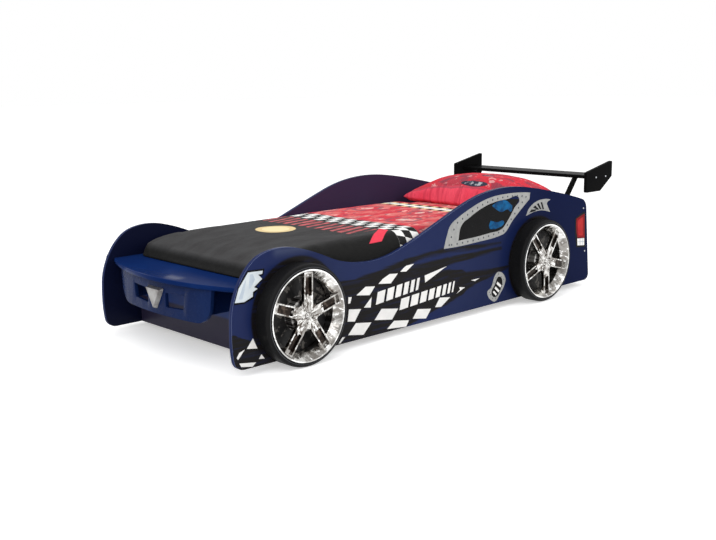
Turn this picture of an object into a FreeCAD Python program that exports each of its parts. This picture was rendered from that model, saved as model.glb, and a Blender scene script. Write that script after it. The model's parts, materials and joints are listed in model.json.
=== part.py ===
"""A racing-car bed for a child, built as a parametric FreeCAD document.

Frame: X runs along the bed (nose at -X, spoiler at +X), Y across it, Z up.
The floor is Z = 0 and the origin is the middle of the floor rectangle that the bed covers.
Two shaped side panels stand on edge, held apart by a front board and a leaning headboard.
Slats lie on rails between them and carry the mattress, the quilt and the pillow.
Four moulded wheels are bolted to the panels, and a spoiler stands on the headboard.
"""
import FreeCAD, Part
import math
import os
import re
from types import SimpleNamespace

import Sketcher
from FreeCAD import Placement, Rotation, Vector

# ---------------------------------------------------------------- driving sizes, in millimetres
SIZES = {
    # the mattress, which everything is built around
    "mattress_length": 2000,
    "mattress_width": 890,        # a 90 cm mattress, pressed in a little by the tucked quilt
    "mattress_thickness": 150,
    "mattress_radius": 30,
    "mattress_side_gap": 10,      # room for the tucked quilt, between mattress and side panel
    "mattress_end_gap": 9,        # between front board and mattress
    "rear_room": 97,              # from the mattress to the panels' rear edge, at their lower edge
    "front_board_x": -1063,       # front face of the front board
    # side panels
    "panel_thickness": 18,
    "panel_bottom": 31,           # height of the straight lower edge above the floor
    "nose_reach": 178,            # foremost point of a side panel, in front of the front board
    "nose_height": 146,
    "foot_reach": 51,             # how far the rounded toe runs back from the nose
    "arch_setback": 57,           # crest over the front wheel, behind the front board's face
    "arch_height": 464,
    "dip_setback": 533,           # lowest point of the upper edge, where a child climbs in
    "dip_height": 348,
    "roof_setback": 716,          # crest of the roof line, in front of the rear edge
    "roof_height": 574.5,
    "tail_height": 451.5,         # height at which roof line and rear edge would meet
    "tail_slope": 15.6,           # fall of the roof line at the tail, in degrees
    "tail_radius": 58,
    "rear_lean": 5.85,            # forward lean of rear edge and headboard, in degrees
    "heel_radius": 32,
    # boards that cross the bed
    "board_thickness": 18,
    "bonnet_top": 333,
    "bonnet_reach": 221,          # foremost point of the bowed bonnet shelf, in front of the front board
    "bonnet_bow": 103,            # how far the bow stands out in front of its two ends
    "bonnet_overlap": 5,          # how far the shelf reaches back past the front board
    "bonnet_rounding": 5,
    "headboard_inset": 28,        # from the rear edge to the middle of the headboard
    "headboard_top": 446,
    # bumper
    "bumper_setback": 26,         # its middle, behind the bonnet's foremost point
    "bumper_bow": 37,             # how far its middle stands out in front of its ends
    "bumper_thickness": 14,
    "bumper_bottom": 177,
    "bumper_half_width": 328,
    "bumper_taper": 18,           # how far each side leans in on the way down
    "bumper_corner": 76,
    "intake_middle": 124,         # middle of an air intake, off the centre line
    "intake_width": 120,
    "intake_bottom": 213,
    "intake_height": 63,
    "intake_slant": 10,
    "badge_width": 116,
    "badge_height": 92,
    "badge_top": 287,
    "badge_thickness": 18,
    "badge_slope": 18,            # how its sides lean in towards the front, in degrees
    "badge_corner": 5,
    "gusset_inset": 78,           # from the end of the bumper to the middle of a gusset
    "gusset_bottom": 200,
    # wheels, each in its own frame: local Z points outwards from the panel
    "front_axle_setback": 133,    # behind the front board's face
    "rear_axle_setback": 470,     # in front of the rear edge
    "tyre_radius": 200,
    "tyre_width": 72.5,
    "tyre_bore": 172,
    "tyre_shoulder": 18,
    "rim_radius": 180,
    "rim_lip": 8,                 # thickness of the lip that laps over the tyre
    "rim_lip_face": 5,            # width of the flat ring at the front of the lip
    "rim_wall": 2,                # how far the barrel steps in behind the dish
    "dish_radius": 149,
    "dish_depth": 30,
    "spoke_count": 5,
    "spoke_face": 66,             # height of the spokes' outer face over the panel
    "spoke_thickness": 16,
    "spoke_root": 22,             # half width of a twin spoke at the hub
    "spoke_tip": 21,              # half width at the lip
    "spoke_cover": 2,             # metal of the barrel left around the spokes' tips
    "spoke_bar": 5.5,             # width of each of its two bars
    "trough_rounding": 3,
    "trough_start": 36,           # from the hub to the trough between the bars
    "trough_end": 7,              # from the trough to the spoke's tip
    "trough_depth": 10,
    "front_wheel_turn": -2,       # how the spokes of the front wheels stand, in degrees
    "rear_wheel_turn": 39,
    "hub_radius": 41,
    "hub_cap_radius": 15,
    "hub_cap_height": 6,
    "drum_radius": 67,
    "drum_step": 4,
    "backing_thickness": 6,
    "nut_circle": 28,
    "nut_radius": 6,
    "nut_height": 5,
    # spoiler
    "plate_inset": 3,             # from the inner face of a side panel to the outer face of an end plate
    "plate_thickness": 16,
    "plate_overlap": 14,          # how far an end plate starts in front of the panels' rear edge
    "plate_length": 237,
    "plate_front_top": 589,
    "plate_front_bottom": 484,
    "plate_rear_top": 637,
    "plate_rear_bottom": 555,
    "plate_keel": 131,            # from the plate's front to where its lower edge starts to rise
    "plate_corner": 8,
    "wing_setback": 65,           # from the plate's front to the wing
    "wing_chord": 144,
    "wing_top": 567,
    "wing_thickness": 18,
    "wing_rounding": 5,
    "strut_inset": 126,           # from an end plate's outer face to the middle of a strut
    "strut_thickness": 16,
    "strut_width": 34,
    "strut_setback": 17,          # from the wing's front edge to the middle of a strut's top
    "strut_slope": 0.8,           # run along X for each unit of height
    # slatted base
    "slat_count": 13,
    "slat_width": 80,
    "slat_thickness": 18,
    "slat_top": 222,
    "slat_end_gap": 5,
    "rail_width": 30,
    "rail_height": 50,
    "rail_room": 86,              # from the rails' rear end to the panels' rear edge
    "beam_width": 40,
    "leg_side": 45,
    "front_leg_setback": 208,     # behind the front board's face
    "rear_leg_setback": 395,      # in front of the rear edge
    "beam_leg_x": 420,
    "glide_radius": 15,
    "glide_height": 5,
    "cleat_side": 30,
    "cleat_bottom": 45,
    "cleat_height": 100,
    # bedding
    "soft_gap": 0.4,              # air between soft goods and what they lie on
    "quilt_thickness": 46,
    "quilt_foot": 56,             # how far the quilt slopes down in front of the mattress
    "quilt_hem": 12,              # thickness of its lower edge, on the bonnet
    "quilt_ridge_drop": 18,       # how far the ridge over the mattress's foot lies below the rest
    "quilt_hump": 22,             # how far the foot end stands above the rest
    "quilt_hump_reach": 300,      # from the foot to the top of the hump
    "quilt_short": 9,             # how far the quilt stops short of the mattress's head end
    "pillow_setback": 14,         # from the mattress's head end to the pillow
    "pillow_length": 400,
    "pillow_side_gap": 55,        # on either side, to the side panels
    "pillow_thickness": 152,
    "pillow_rim": 55,             # how far the upper and lower rims slope in
    "pillow_corner": 100,
    # fasteners
    "screw_head_radius": 5,
    "screw_head_flat": 3,         # radius of the flat on top of the head
    "screw_head_height": 2.5,
    "screw_shank_radius": 2.4,
    "screw_hole_radius": 2.6,
    "screw_length": 40,
    "screw_high": 412,
    "screw_low": 186,
    "screw_tip_gap": 2,           # from the screw's tip to the bottom of its hole
    "seat_gap": 0.3,
}

# Places that follow from those sizes, so that a longer or wider mattress takes its bed along.
SIZES["inside_width"] = SIZES["mattress_width"] + 2 * SIZES["mattress_side_gap"]
SIZES["mattress_front"] = SIZES["front_board_x"] + SIZES["board_thickness"] + SIZES["mattress_end_gap"]
SIZES["mattress_rear"] = SIZES["mattress_front"] + SIZES["mattress_length"]
SIZES["rear_x"] = SIZES["mattress_rear"] + SIZES["rear_room"]
SIZES["nose_x"] = SIZES["front_board_x"] - SIZES["nose_reach"]
SIZES["arch_x"] = SIZES["front_board_x"] + SIZES["arch_setback"]
SIZES["dip_x"] = SIZES["front_board_x"] + SIZES["dip_setback"]
SIZES["roof_x"] = SIZES["rear_x"] - SIZES["roof_setback"]
SIZES["bonnet_front"] = SIZES["front_board_x"] - SIZES["bonnet_reach"]
SIZES["bonnet_back"] = SIZES["front_board_x"] + SIZES["board_thickness"] + SIZES["bonnet_overlap"]
SIZES["gusset_middle"] = SIZES["bumper_half_width"] - SIZES["gusset_inset"]
SIZES["front_axle_x"] = SIZES["front_board_x"] + SIZES["front_axle_setback"]
SIZES["rear_axle_x"] = SIZES["rear_x"] - SIZES["rear_axle_setback"]
SIZES["front_leg_x"] = SIZES["front_board_x"] + SIZES["front_leg_setback"]
SIZES["rear_leg_x"] = SIZES["rear_x"] - SIZES["rear_leg_setback"]
SIZES["rail_rear"] = SIZES["rear_x"] - SIZES["rail_room"]
SIZES["plate_outer"] = SIZES["inside_width"] / 2 - SIZES["plate_inset"]
SIZES["plate_front"] = SIZES["rear_x"] - SIZES["plate_overlap"]
SIZES["plate_rear"] = SIZES["plate_front"] + SIZES["plate_length"]
SIZES["wing_front"] = SIZES["plate_front"] + SIZES["wing_setback"]
SIZES["wing_back"] = SIZES["wing_front"] + SIZES["wing_chord"]
SIZES["strut_middle"] = SIZES["plate_outer"] - SIZES["strut_inset"]
SIZES["strut_top_x"] = SIZES["wing_front"] + SIZES["strut_setback"]
SIZES["quilt_front"] = SIZES["mattress_front"] - SIZES["quilt_foot"]
SIZES["quilt_rear"] = SIZES["mattress_rear"] - SIZES["quilt_short"]
SIZES["pillow_width"] = SIZES["inside_width"] - 2 * SIZES["pillow_side_gap"]
SIZES["pillow_front"] = SIZES["mattress_rear"] - SIZES["pillow_setback"] - SIZES["pillow_length"]

# Knots of the upper edge between its crests: shares of the way along and of the rise or fall,
# and the slope there in degrees.
NOSE_TO_ARCH = ((0.063, 0.458, 72.5), (0.407, 0.862, 41.4))
ARCH_TO_DIP = ((0.341, 0.302, -20.4), (0.668, 0.824, -15.1))
DIP_TO_ROOF = ((0.332, 0.302, 20.7), (0.659, 0.779, 19.5))
ROOF_TO_TAIL = ((0.510, 0.358, -11.4),)

doc = FreeCAD.newDocument("car_bed")
sheet = doc.addObject("Spreadsheet::Sheet", "Sizes")
for row, (alias, value) in enumerate(SIZES.items(), start=1):
    sheet.set(f"A{row}", alias)
    sheet.set(f"B{row}", str(value))
    sheet.setAlias(f"B{row}", alias)
doc.recompute()
s = SimpleNamespace(**{alias: float(sheet.get(alias)) for alias in SIZES})
lean = math.tan(math.radians(s.rear_lean))
panel_face = s.inside_width / 2 + s.panel_thickness


# ---------------------------------------------------------------- helpers
def bind(thing, **expressions):
    """Bind properties to formulas of sheet sizes; a double underscore stands for a dot."""
    for name, formula in expressions.items():
        words = re.sub(r"[a-z][a-z_0-9]*", lambda w: "Sizes." + w[0] if w[0] in SIZES else w[0], formula)
        thing.setExpression(name.replace("__", "."), words)


def new_body(label):
    body = doc.addObject("PartDesign::Body", label)
    body.Label = label
    return body


def new_sketch(body, plane, offset=None):
    """A sketch on one of the body's own planes, moved along its normal by a formula."""
    sketch = body.newObject("Sketcher::SketchObject", body.Name + "_sketch")
    sketch.AttachmentSupport = (next(f for f in body.Origin.OriginFeatures if f.Role == plane), [""])
    sketch.MapMode = "FlatFace"
    if offset:
        bind(sketch, AttachmentOffset__Base__z=offset)
    return sketch


def draw(sketch, *curves):
    """Add curves to a sketch and hold each one where it is drawn."""
    for curve in curves:
        index = sketch.addGeometry(curve, False)
        sketch.addConstraint(Sketcher.Constraint("Block", index))


def polygon(points):
    points = [Vector(*p, 0) for p in points]
    return [Part.LineSegment(a, b) for a, b in zip(points, points[1:] + points[:1])]


def corner_arc(before, corner, after, radius):
    """The arc that rounds a corner between two straight runs."""
    before, corner, after = (Vector(*p, 0) for p in (before, corner, after))
    into, away = (before - corner).normalize(), (after - corner).normalize()
    half = into.getAngle(away) / 2
    bisector = (into + away).normalize()
    start, end = (corner + d * (radius / math.tan(half)) for d in (into, away))
    middle = corner + bisector * (radius / math.sin(half) - radius)
    return start, middle, end


def rounded_polygon(points, radii):
    """Straight sides with rounded corners; a radius of 0 leaves a corner sharp."""
    count = len(points)
    arcs = []
    for i, radius in enumerate(radii):
        before, corner, after = points[i - 1], points[i], points[(i + 1) % count]
        arcs.append(corner_arc(before, corner, after, radius) if radius else [Vector(*corner, 0)] * 3)
    curves = []
    for i, (start, middle, end) in enumerate(arcs):
        if radii[i]:
            curves.append(Part.Arc(start, middle, end))
        curves.append(Part.LineSegment(end, arcs[(i + 1) % count][0]))
    return curves


def circle(x, y, radius):
    return Part.Circle(Vector(x, y, 0), Vector(0, 0, 1), radius)


def pad(body, sketch, length, both_ways=False, backwards=False):
    feature = body.newObject("PartDesign::Pad", body.Name + "_pad")
    feature.Profile = sketch
    bind(feature, Length=length)
    feature.Midplane = both_ways
    feature.Reversed = backwards
    body.Tip = feature
    return feature


def pocket(body, sketch, length=None, both_ways=False, backwards=False):
    """Cut a sketch out of the body; without a length the cut goes right through."""
    feature = body.newObject("PartDesign::Pocket", body.Name + "_pocket")
    feature.Profile = sketch
    if length:
        bind(feature, Length=length)
    else:
        feature.Type = "ThroughAll"
    feature.Midplane = both_ways
    feature.Reversed = backwards
    body.Tip = feature
    return feature


def revolve(body, sketch, axis="Z_Axis"):
    feature = body.newObject("PartDesign::Revolution", body.Name + "_turned")
    feature.Profile = sketch
    feature.ReferenceAxis = (next(f for f in body.Origin.OriginFeatures if f.Role == axis), [""])
    feature.Angle = 360
    body.Tip = feature
    return feature


def repeat_round(body, features, count):
    pattern = body.newObject("PartDesign::PolarPattern", body.Name + "_pattern")
    pattern.Originals = features
    pattern.Axis = (next(f for f in body.Origin.OriginFeatures if f.Role == "Z_Axis"), [""])
    pattern.Angle = 360
    bind(pattern, Occurrences=count)
    body.Tip = pattern
    return pattern


def board(label, length, width, height, x, y, z):
    """A straight board: every argument is a formula of sheet sizes."""
    piece = doc.addObject("Part::Box", label)
    piece.Label = label
    bind(piece, Length=length, Width=width, Height=height,
         Placement__Base__x=x, Placement__Base__y=y, Placement__Base__z=z)
    return piece


def group(label, solids):
    """Identical loose pieces that share one node."""
    piece = doc.addObject("Part::Feature", label)
    piece.Label = label
    piece.Shape = Part.makeCompound(solids)
    return piece


SIDES = (("near", -1), ("far", 1))


# ---------------------------------------------------------------- side panels
def rear_edge_x(height):
    """Where the leaning rear edge of the panels stands at a given height."""
    return s.rear_x - lean * (height - s.panel_bottom)


def flank(start, end, shares):
    """Knots between two crests, each a point and a slope in degrees."""
    return [(start[0] + a * (end[0] - start[0]), start[1] + b * (end[1] - start[1]), slope)
            for a, b, slope in shares]


def tangent_arc(start, heading, end):
    """The arc that leaves its start along a heading and passes through its end."""
    chord = end - start
    sideways_part = heading - chord * (heading.dot(chord) / chord.dot(chord))
    if sideways_part.Length < 1e-6:
        return Part.LineSegment(start, end)
    rise = chord.Length / 2 * math.tan(heading.getAngle(chord) / 2)
    return Part.Arc(start, (start + end) * 0.5 + sideways_part.normalize() * rise, end)


def smooth_run(knots):
    """A smooth run of arcs, two between each pair of knots, that keeps every knot's slope."""
    arcs = []
    for (x0, z0, slope0), (x1, z1, slope1) in zip(knots, knots[1:]):
        start, end = Vector(x0, z0, 0), Vector(x1, z1, 0)
        leave, arrive = (Vector(math.cos(math.radians(a)), math.sin(math.radians(a)), 0) for a in (slope0, slope1))
        chord = end - start
        along = chord.dot(leave + arrive)
        curl = 2 * (1 - leave.dot(arrive))
        reach = (math.sqrt(along ** 2 + curl * chord.dot(chord)) - along) / curl
        meet = (start + end + (leave - arrive) * reach) * 0.5
        arcs += [tangent_arc(start, leave, meet), tangent_arc(end, -arrive, meet)]
    return arcs


def panel_outline():
    """The car's side view: toe, front crest, dip, roof, tail and heel."""
    nose, arch = (s.nose_x, s.nose_height), (s.arch_x, s.arch_height)
    dip, roof = (s.dip_x, s.dip_height), (s.roof_x, s.roof_height)
    tail = (rear_edge_x(s.tail_height), s.tail_height)
    slope = math.radians(s.tail_slope)
    on_roof_line = (tail[0] - math.cos(slope), tail[1] + math.sin(slope))
    toe, heel = (s.nose_x + s.foot_reach, s.panel_bottom), (s.rear_x, s.panel_bottom)
    tail_start, tail_middle, tail_end = corner_arc(on_roof_line, tail, heel, s.tail_radius)
    heel_start, heel_middle, heel_end = corner_arc(tail, heel, toe, s.heel_radius)
    end = (tail_start.x, tail_start.y)
    knots = [(*toe, 180), (*nose, 90), *flank(nose, arch, NOSE_TO_ARCH), (*arch, 0), *flank(arch, dip, ARCH_TO_DIP),
             (*dip, 0), *flank(dip, roof, DIP_TO_ROOF), (*roof, 0), *flank(roof, end, ROOF_TO_TAIL),
             (*end, -s.tail_slope)]
    return [*smooth_run(knots), Part.Arc(tail_start, tail_middle, tail_end), Part.LineSegment(tail_end, heel_start),
            Part.Arc(heel_start, heel_middle, heel_end), Part.LineSegment(heel_end, Vector(*toe, 0))]


def screw_spots():
    """Where the panels are screwed to the headboard's edge."""
    return [(rear_edge_x(z) - s.headboard_inset, z) for z in (s.screw_high, s.screw_low)]


def side_panel(label, side):
    body = new_body(label)
    outline = new_sketch(body, "XZ_Plane", f"{-side} * inside_width / 2")
    draw(outline, *panel_outline())
    pad(body, outline, "panel_thickness", backwards=side > 0)
    holes = new_sketch(body, "XZ_Plane", f"{-side} * inside_width / 2")
    draw(holes, *[circle(x, z, s.screw_hole_radius) for x, z in screw_spots()])
    pocket(body, holes, both_ways=True)
    return body


# ---------------------------------------------------------------- boards across the bed
def headboard():
    """A leaning board whose ends butt against both panels, drilled for the screws."""
    body = new_body("headboard")
    half = s.board_thickness / 2 / math.cos(math.radians(s.rear_lean))
    middle_low, middle_high = (rear_edge_x(z) - s.headboard_inset for z in (s.panel_bottom, s.headboard_top))
    profile = new_sketch(body, "XZ_Plane")
    draw(profile, *polygon([(middle_low - half, s.panel_bottom), (middle_low + half, s.panel_bottom),
                            (middle_high + half, s.headboard_top), (middle_high - half, s.headboard_top)]))
    pad(body, profile, "inside_width", both_ways=True)
    for side in (-1, 1):
        holes = new_sketch(body, "XZ_Plane", f"{-side} * inside_width / 2")
        draw(holes, *[circle(x, z, s.screw_hole_radius) for x, z in screw_spots()])
        pocket(body, holes, "screw_length", backwards=side > 0)
    return body


def bowed_face(foremost, half_width, bow):
    """An upright face bent to an arc: its foremost X and its radius."""
    return foremost, (half_width ** 2 + bow ** 2) / (2 * bow)


def bow_x(face, y):
    foremost, radius = face
    return foremost + radius - math.sqrt(radius ** 2 - y ** 2)


def bow_arc(face, half_width):
    return Part.Arc(*[Vector(bow_x(face, y), y, 0) for y in (-half_width, 0, half_width)])


bow_half = s.inside_width / 2
bonnet_face = bowed_face(s.bonnet_front, bow_half, s.bonnet_bow)


def bonnet_shelf():
    """The bowed shelf at the foot, with its front edge rounded over."""
    body = new_body("bonnet_shelf")
    plan = new_sketch(body, "XY_Plane", "bonnet_top - board_thickness")
    corner = bow_x(bonnet_face, bow_half)
    draw(plan, bow_arc(bonnet_face, bow_half), *polygon([(corner, bow_half), (s.bonnet_back, bow_half),
                                                         (s.bonnet_back, -bow_half), (corner, -bow_half)])[:3])
    slab = pad(body, plan, "board_thickness")
    doc.recompute()
    bowed = [f"Edge{i}" for i, edge in enumerate(slab.Shape.Edges, start=1) if isinstance(edge.Curve, Part.Circle)]
    rounding = body.newObject("PartDesign::Fillet", "bonnet_rounding_over")
    rounding.Base = (slab, bowed)
    bind(rounding, Radius="bonnet_rounding")
    body.Tip = rounding
    return body


# ---------------------------------------------------------------- bumper
bumper_outside = bowed_face(s.bonnet_front + s.bumper_setback, s.bumper_half_width, s.bumper_bow)
bumper_inside = (bumper_outside[0] + s.bumper_thickness, bumper_outside[1] - s.bumper_thickness)
bonnet_bottom = s.bonnet_top - s.board_thickness


def bumper_face():
    """A curved panel under the bonnet: rounded below, with two slanted air intakes."""
    body = new_body("bumper_face")
    plan = new_sketch(body, "XY_Plane", "bumper_bottom")
    half = s.bumper_half_width
    ends = [Part.LineSegment(Vector(bow_x(bumper_outside, y), y, 0), Vector(bow_x(bumper_inside, y), y, 0))
            for y in (half, -half)]
    draw(plan, bow_arc(bumper_outside, half), bow_arc(bumper_inside, half), *ends)
    pad(body, plan, "bonnet_top - board_thickness - bumper_bottom")
    face = new_sketch(body, "YZ_Plane")
    low_half = half - s.bumper_taper
    outline = [(half, bonnet_bottom), (low_half, s.bumper_bottom), (-low_half, s.bumper_bottom),
               (-half, bonnet_bottom)]
    margin = s.board_thickness
    waste = [(half + margin, bonnet_bottom + margin), (half + margin, s.bumper_bottom - margin),
             (-half - margin, s.bumper_bottom - margin), (-half - margin, bonnet_bottom + margin)]
    draw(face, *rounded_polygon(outline, (0, s.bumper_corner, s.bumper_corner, 0))[:-1])
    draw(face, Part.LineSegment(Vector(-half, bonnet_bottom, 0), Vector(*waste[3], 0)))
    draw(face, *polygon(waste)[:3][::-1])
    draw(face, Part.LineSegment(Vector(*waste[0], 0), Vector(half, bonnet_bottom, 0)))
    pocket(body, face, both_ways=True)
    intakes = new_sketch(body, "YZ_Plane")
    for side in (-1, 1):
        draw(intakes, *rounded_polygon(intake_corners(side), [s.intake_slant / 2] * 4))
    pocket(body, intakes, both_ways=True)
    return body


def intake_corners(side):
    """Four corners of one air intake: its outer end stands taller than its inner one."""
    inner = side * (s.intake_middle - s.intake_width / 2)
    outer = side * (s.intake_middle + s.intake_width / 2)
    top = s.intake_bottom + s.intake_height
    return [(inner, s.intake_bottom), (outer - side * s.intake_slant, s.intake_bottom + s.intake_slant / 2),
            (outer, top), (inner, top - s.intake_slant / 2)]


def grille_badge():
    """A plain triangle that points down, between the intakes."""
    body = new_body("grille_badge")
    face = new_sketch(body, "YZ_Plane", "bonnet_front + bumper_setback")
    half = s.badge_width / 2
    draw(face, *rounded_polygon([(-half, s.badge_top), (0, s.badge_top - s.badge_height), (half, s.badge_top)],
                                [s.badge_corner] * 3))
    feature = pad(body, face, "badge_thickness", backwards=True)
    bind(feature, TaperAngle="-badge_slope")
    return body


def bumper_gusset(label, side):
    """An upright board that ties the bumper back to the front board, under the bonnet."""
    body = new_body(label)
    plan = new_sketch(body, "XY_Plane", "gusset_bottom")
    low, high = (s.gusset_middle + d * s.board_thickness / 2 for d in (-1, 1))
    draw(plan, *polygon([(s.front_board_x, side * low), (s.front_board_x, side * high),
                         (bow_x(bumper_inside, high), side * high), (bow_x(bumper_inside, low), side * low)]))
    pad(body, plan, "bonnet_top - board_thickness - gusset_bottom")
    return body


# ---------------------------------------------------------------- wheels
def wheel_placement(axle_x, side, turn):
    """Local Z points out of the panel, local Y up; turn rotates the spokes, in degrees."""
    stand = Rotation(Vector(1, 0, 0), 90)
    if side > 0:
        stand = Rotation(Vector(0, 0, 1), 180) * stand
    return Placement(Vector(axle_x, side * panel_face, s.tyre_radius), stand * Rotation(Vector(0, 0, 1), turn))


def tyre(label, place):
    """A low, smooth tyre with a round shoulder, and a step that the rim's lip laps over."""
    body = new_body(label)
    profile = new_sketch(body, "XZ_Plane")
    r, w, bore = s.tyre_radius, s.tyre_width, s.tyre_bore
    bead, seat = s.rim_radius + s.seat_gap, w - s.rim_lip
    draw(profile, *rounded_polygon([(bore, 0), (r, 0), (r, w), (bead, w), (bead, seat), (bore, seat)],
                                   (0, 0, s.tyre_shoulder, 0, 0, 0)))
    revolve(body, profile)
    body.Placement = place
    return body


def rim(label, place):
    """A dished ring with a lip, a hub, and five troughed spokes between them."""
    body = new_body(label)
    profile = new_sketch(body, "XZ_Plane")
    w, lip, outer = s.tyre_width, s.rim_lip, s.rim_radius
    bore = s.tyre_bore - s.seat_gap
    dish_floor = w - s.dish_depth
    barrel = s.dish_radius - s.rim_wall
    draw(profile, *polygon([(barrel, 0), (bore, 0), (bore, w - lip + s.seat_gap),
                            (outer, w - lip + s.seat_gap), (outer, w), (outer - s.rim_lip_face, w),
                            (s.dish_radius, dish_floor), (barrel, dish_floor - s.rim_wall)]))
    revolve(body, profile)
    back = "spoke_face - spoke_thickness"
    arm = new_sketch(body, "XY_Plane", back)
    tip = bore - s.spoke_cover
    draw(arm, *polygon([(-s.spoke_root, 0), (s.spoke_root, 0), (s.spoke_tip, tip), (-s.spoke_tip, tip)]))
    spoke = pad(body, arm, "spoke_thickness")
    repeat_round(body, [spoke], "spoke_count")
    hub = new_sketch(body, "XY_Plane", back)
    draw(hub, circle(0, 0, s.hub_radius))
    pad(body, hub, "spoke_thickness")
    trough = new_sketch(body, "XY_Plane", "spoke_face")
    draw(trough, *rounded_polygon(trough_corners(tip), [s.trough_rounding] * 4))
    cut = pocket(body, trough, "trough_depth")
    repeat_round(body, [cut], "spoke_count")
    body.Placement = place
    return body


def trough_corners(tip):
    """The trough between the two bars of a spoke, from near the hub to just short of the lip."""
    def half(reach):
        return s.spoke_root + (s.spoke_tip - s.spoke_root) * reach / tip - s.spoke_bar
    start, end = s.hub_radius + s.trough_start, tip - s.trough_end
    return [(-half(start), start), (half(start), start), (half(end), end), (-half(end), end)]


def wheel_backing(label, place):
    """The dark plate behind the spokes, moulded in one with the drum that carries the hub."""
    body = new_body(label)
    profile = new_sketch(body, "XZ_Plane")
    low, high, step = s.backing_thickness, s.spoke_face - s.spoke_thickness, s.drum_step
    rim_gap = s.dish_radius - s.rim_wall - s.seat_gap
    draw(profile, *polygon([(0, 0), (rim_gap, 0), (rim_gap, low), (s.drum_radius, low),
                            (s.drum_radius, high - 2 * step), (s.drum_radius - step, high - step),
                            (s.hub_radius, high - step), (s.hub_radius - step, high), (0, high)]))
    revolve(body, profile)
    body.Placement = place
    return body


def hub_caps(places):
    """A low cap with a sloping edge in the middle of every hub."""
    base, r, rise = s.spoke_face, s.hub_cap_radius, s.hub_cap_height
    caps = []
    for place in places:
        foot = Part.makeCylinder(r, rise / 2, Vector(0, 0, base))
        crown = Part.makeCone(r, r - rise / 2, rise / 2, Vector(0, 0, base + rise / 2))
        cap = foot.fuse(crown).removeSplitter()
        cap.Placement = place
        caps.append(cap)
    return group("hub_caps", caps)


def wheel_nuts(places):
    """Five hexagon nuts on the hub of every wheel."""
    nuts = []
    for place in places:
        for k in range(int(s.spoke_count)):
            angle = math.radians(90 + 180 / s.spoke_count + k * 360 / s.spoke_count)
            centre = Vector(s.nut_circle * math.cos(angle), s.nut_circle * math.sin(angle), s.spoke_face)
            corners = [centre + Vector(s.nut_radius * math.cos(math.radians(a)),
                                       s.nut_radius * math.sin(math.radians(a)), 0) for a in range(0, 361, 60)]
            nut = Part.Face(Part.makePolygon(corners)).extrude(Vector(0, 0, s.nut_height))
            nut.Placement = place
            nuts.append(nut)
    return group("wheel_nuts", nuts)


# ---------------------------------------------------------------- spoiler
WING_SCREWS = (0.16, 0.78)  # where the end plates are screwed to the wing, in shares of its chord


def plate_screw_x():
    return [s.wing_front + share * s.wing_chord for share in WING_SCREWS]


wing_middle_z = s.wing_top - s.wing_thickness / 2


def spoiler_end_plate(label, side):
    """A six-sided upright plate that closes one end of the wing."""
    body = new_body(label)
    outline = new_sketch(body, "XZ_Plane", f"{-side} * (plate_outer - plate_thickness)")
    draw(outline, *rounded_polygon([(s.plate_front, s.plate_front_top), (s.plate_rear, s.plate_rear_top),
                                    (s.plate_rear, s.plate_rear_bottom),
                                    (s.plate_front + s.plate_keel, s.plate_front_bottom),
                                    (s.plate_front, s.plate_front_bottom)], [s.plate_corner] * 5))
    pad(body, outline, "plate_thickness", backwards=side > 0)
    holes = new_sketch(body, "XZ_Plane", f"{-side} * (plate_outer - plate_thickness)")
    draw(holes, *[circle(x, wing_middle_z, s.screw_hole_radius) for x in plate_screw_x()])
    pocket(body, holes, both_ways=True)
    return body


def spoiler_wing():
    """The flat wing between the end plates, with rounded front and back edges."""
    body = new_body("spoiler_wing")
    profile = new_sketch(body, "XZ_Plane")
    low = s.wing_top - s.wing_thickness
    draw(profile, *rounded_polygon([(s.wing_front, low), (s.wing_back, low), (s.wing_back, s.wing_top),
                                    (s.wing_front, s.wing_top)], [s.wing_rounding] * 4))
    pad(body, profile, "2 * (plate_outer - plate_thickness)", both_ways=True)
    for side in (-1, 1):
        holes = new_sketch(body, "XZ_Plane", f"{-side} * (plate_outer - plate_thickness)")
        draw(holes, *[circle(x, wing_middle_z, s.screw_hole_radius) for x in plate_screw_x()])
        pocket(body, holes, "screw_length", backwards=side > 0)
    return body


def spoiler_strut(label, side):
    """A leaning bar from the back of the headboard up to the underside of the wing."""
    body = new_body(label)
    top = s.wing_top - s.wing_thickness
    half = s.board_thickness / 2 / math.cos(math.radians(s.rear_lean))
    back_face = rear_edge_x(0) - s.headboard_inset + half

    def foot(x_at_top):
        """Where a line down the strut meets the back of the headboard."""
        z = (back_face - x_at_top + s.strut_slope * top) / (s.strut_slope + lean)
        return back_face - lean * z, z

    ends = [s.strut_top_x + d * s.strut_width / 2 for d in (-1, 1)]
    outline = new_sketch(body, "XZ_Plane", f"{-side} * strut_middle")
    draw(outline, *polygon([(ends[0], top), (ends[1], top), foot(ends[1]), foot(ends[0])]))
    pad(body, outline, "strut_thickness", both_ways=True)
    return body


# ---------------------------------------------------------------- screws
def screw(length):
    """A round-headed screw along local -Z, its head standing on Z = 0."""
    head = Part.makeCone(s.screw_head_radius, s.screw_head_flat, s.screw_head_height)
    shank = Part.makeCylinder(s.screw_shank_radius, length, Vector(0, 0, -length))
    return head.fuse(shank).removeSplitter()


def sideways(x, face, z, side, length):
    """A screw driven across the bed from the outside of one side."""
    piece = screw(length)
    piece.Placement = Placement(Vector(x, side * face, z), Rotation(Vector(1, 0, 0), 90 if side < 0 else -90))
    return piece


def panel_screws():
    length = s.panel_thickness + s.screw_length - s.screw_tip_gap
    return group("panel_screws", [sideways(x, panel_face, z, side, length)
                                  for _, side in SIDES for x, z in screw_spots()])


def spoiler_screws():
    length = s.plate_thickness + s.screw_length - s.screw_tip_gap
    return group("spoiler_screws", [sideways(x, s.plate_outer, wing_middle_z, side, length)
                                    for _, side in SIDES for x in plate_screw_x()])


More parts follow.
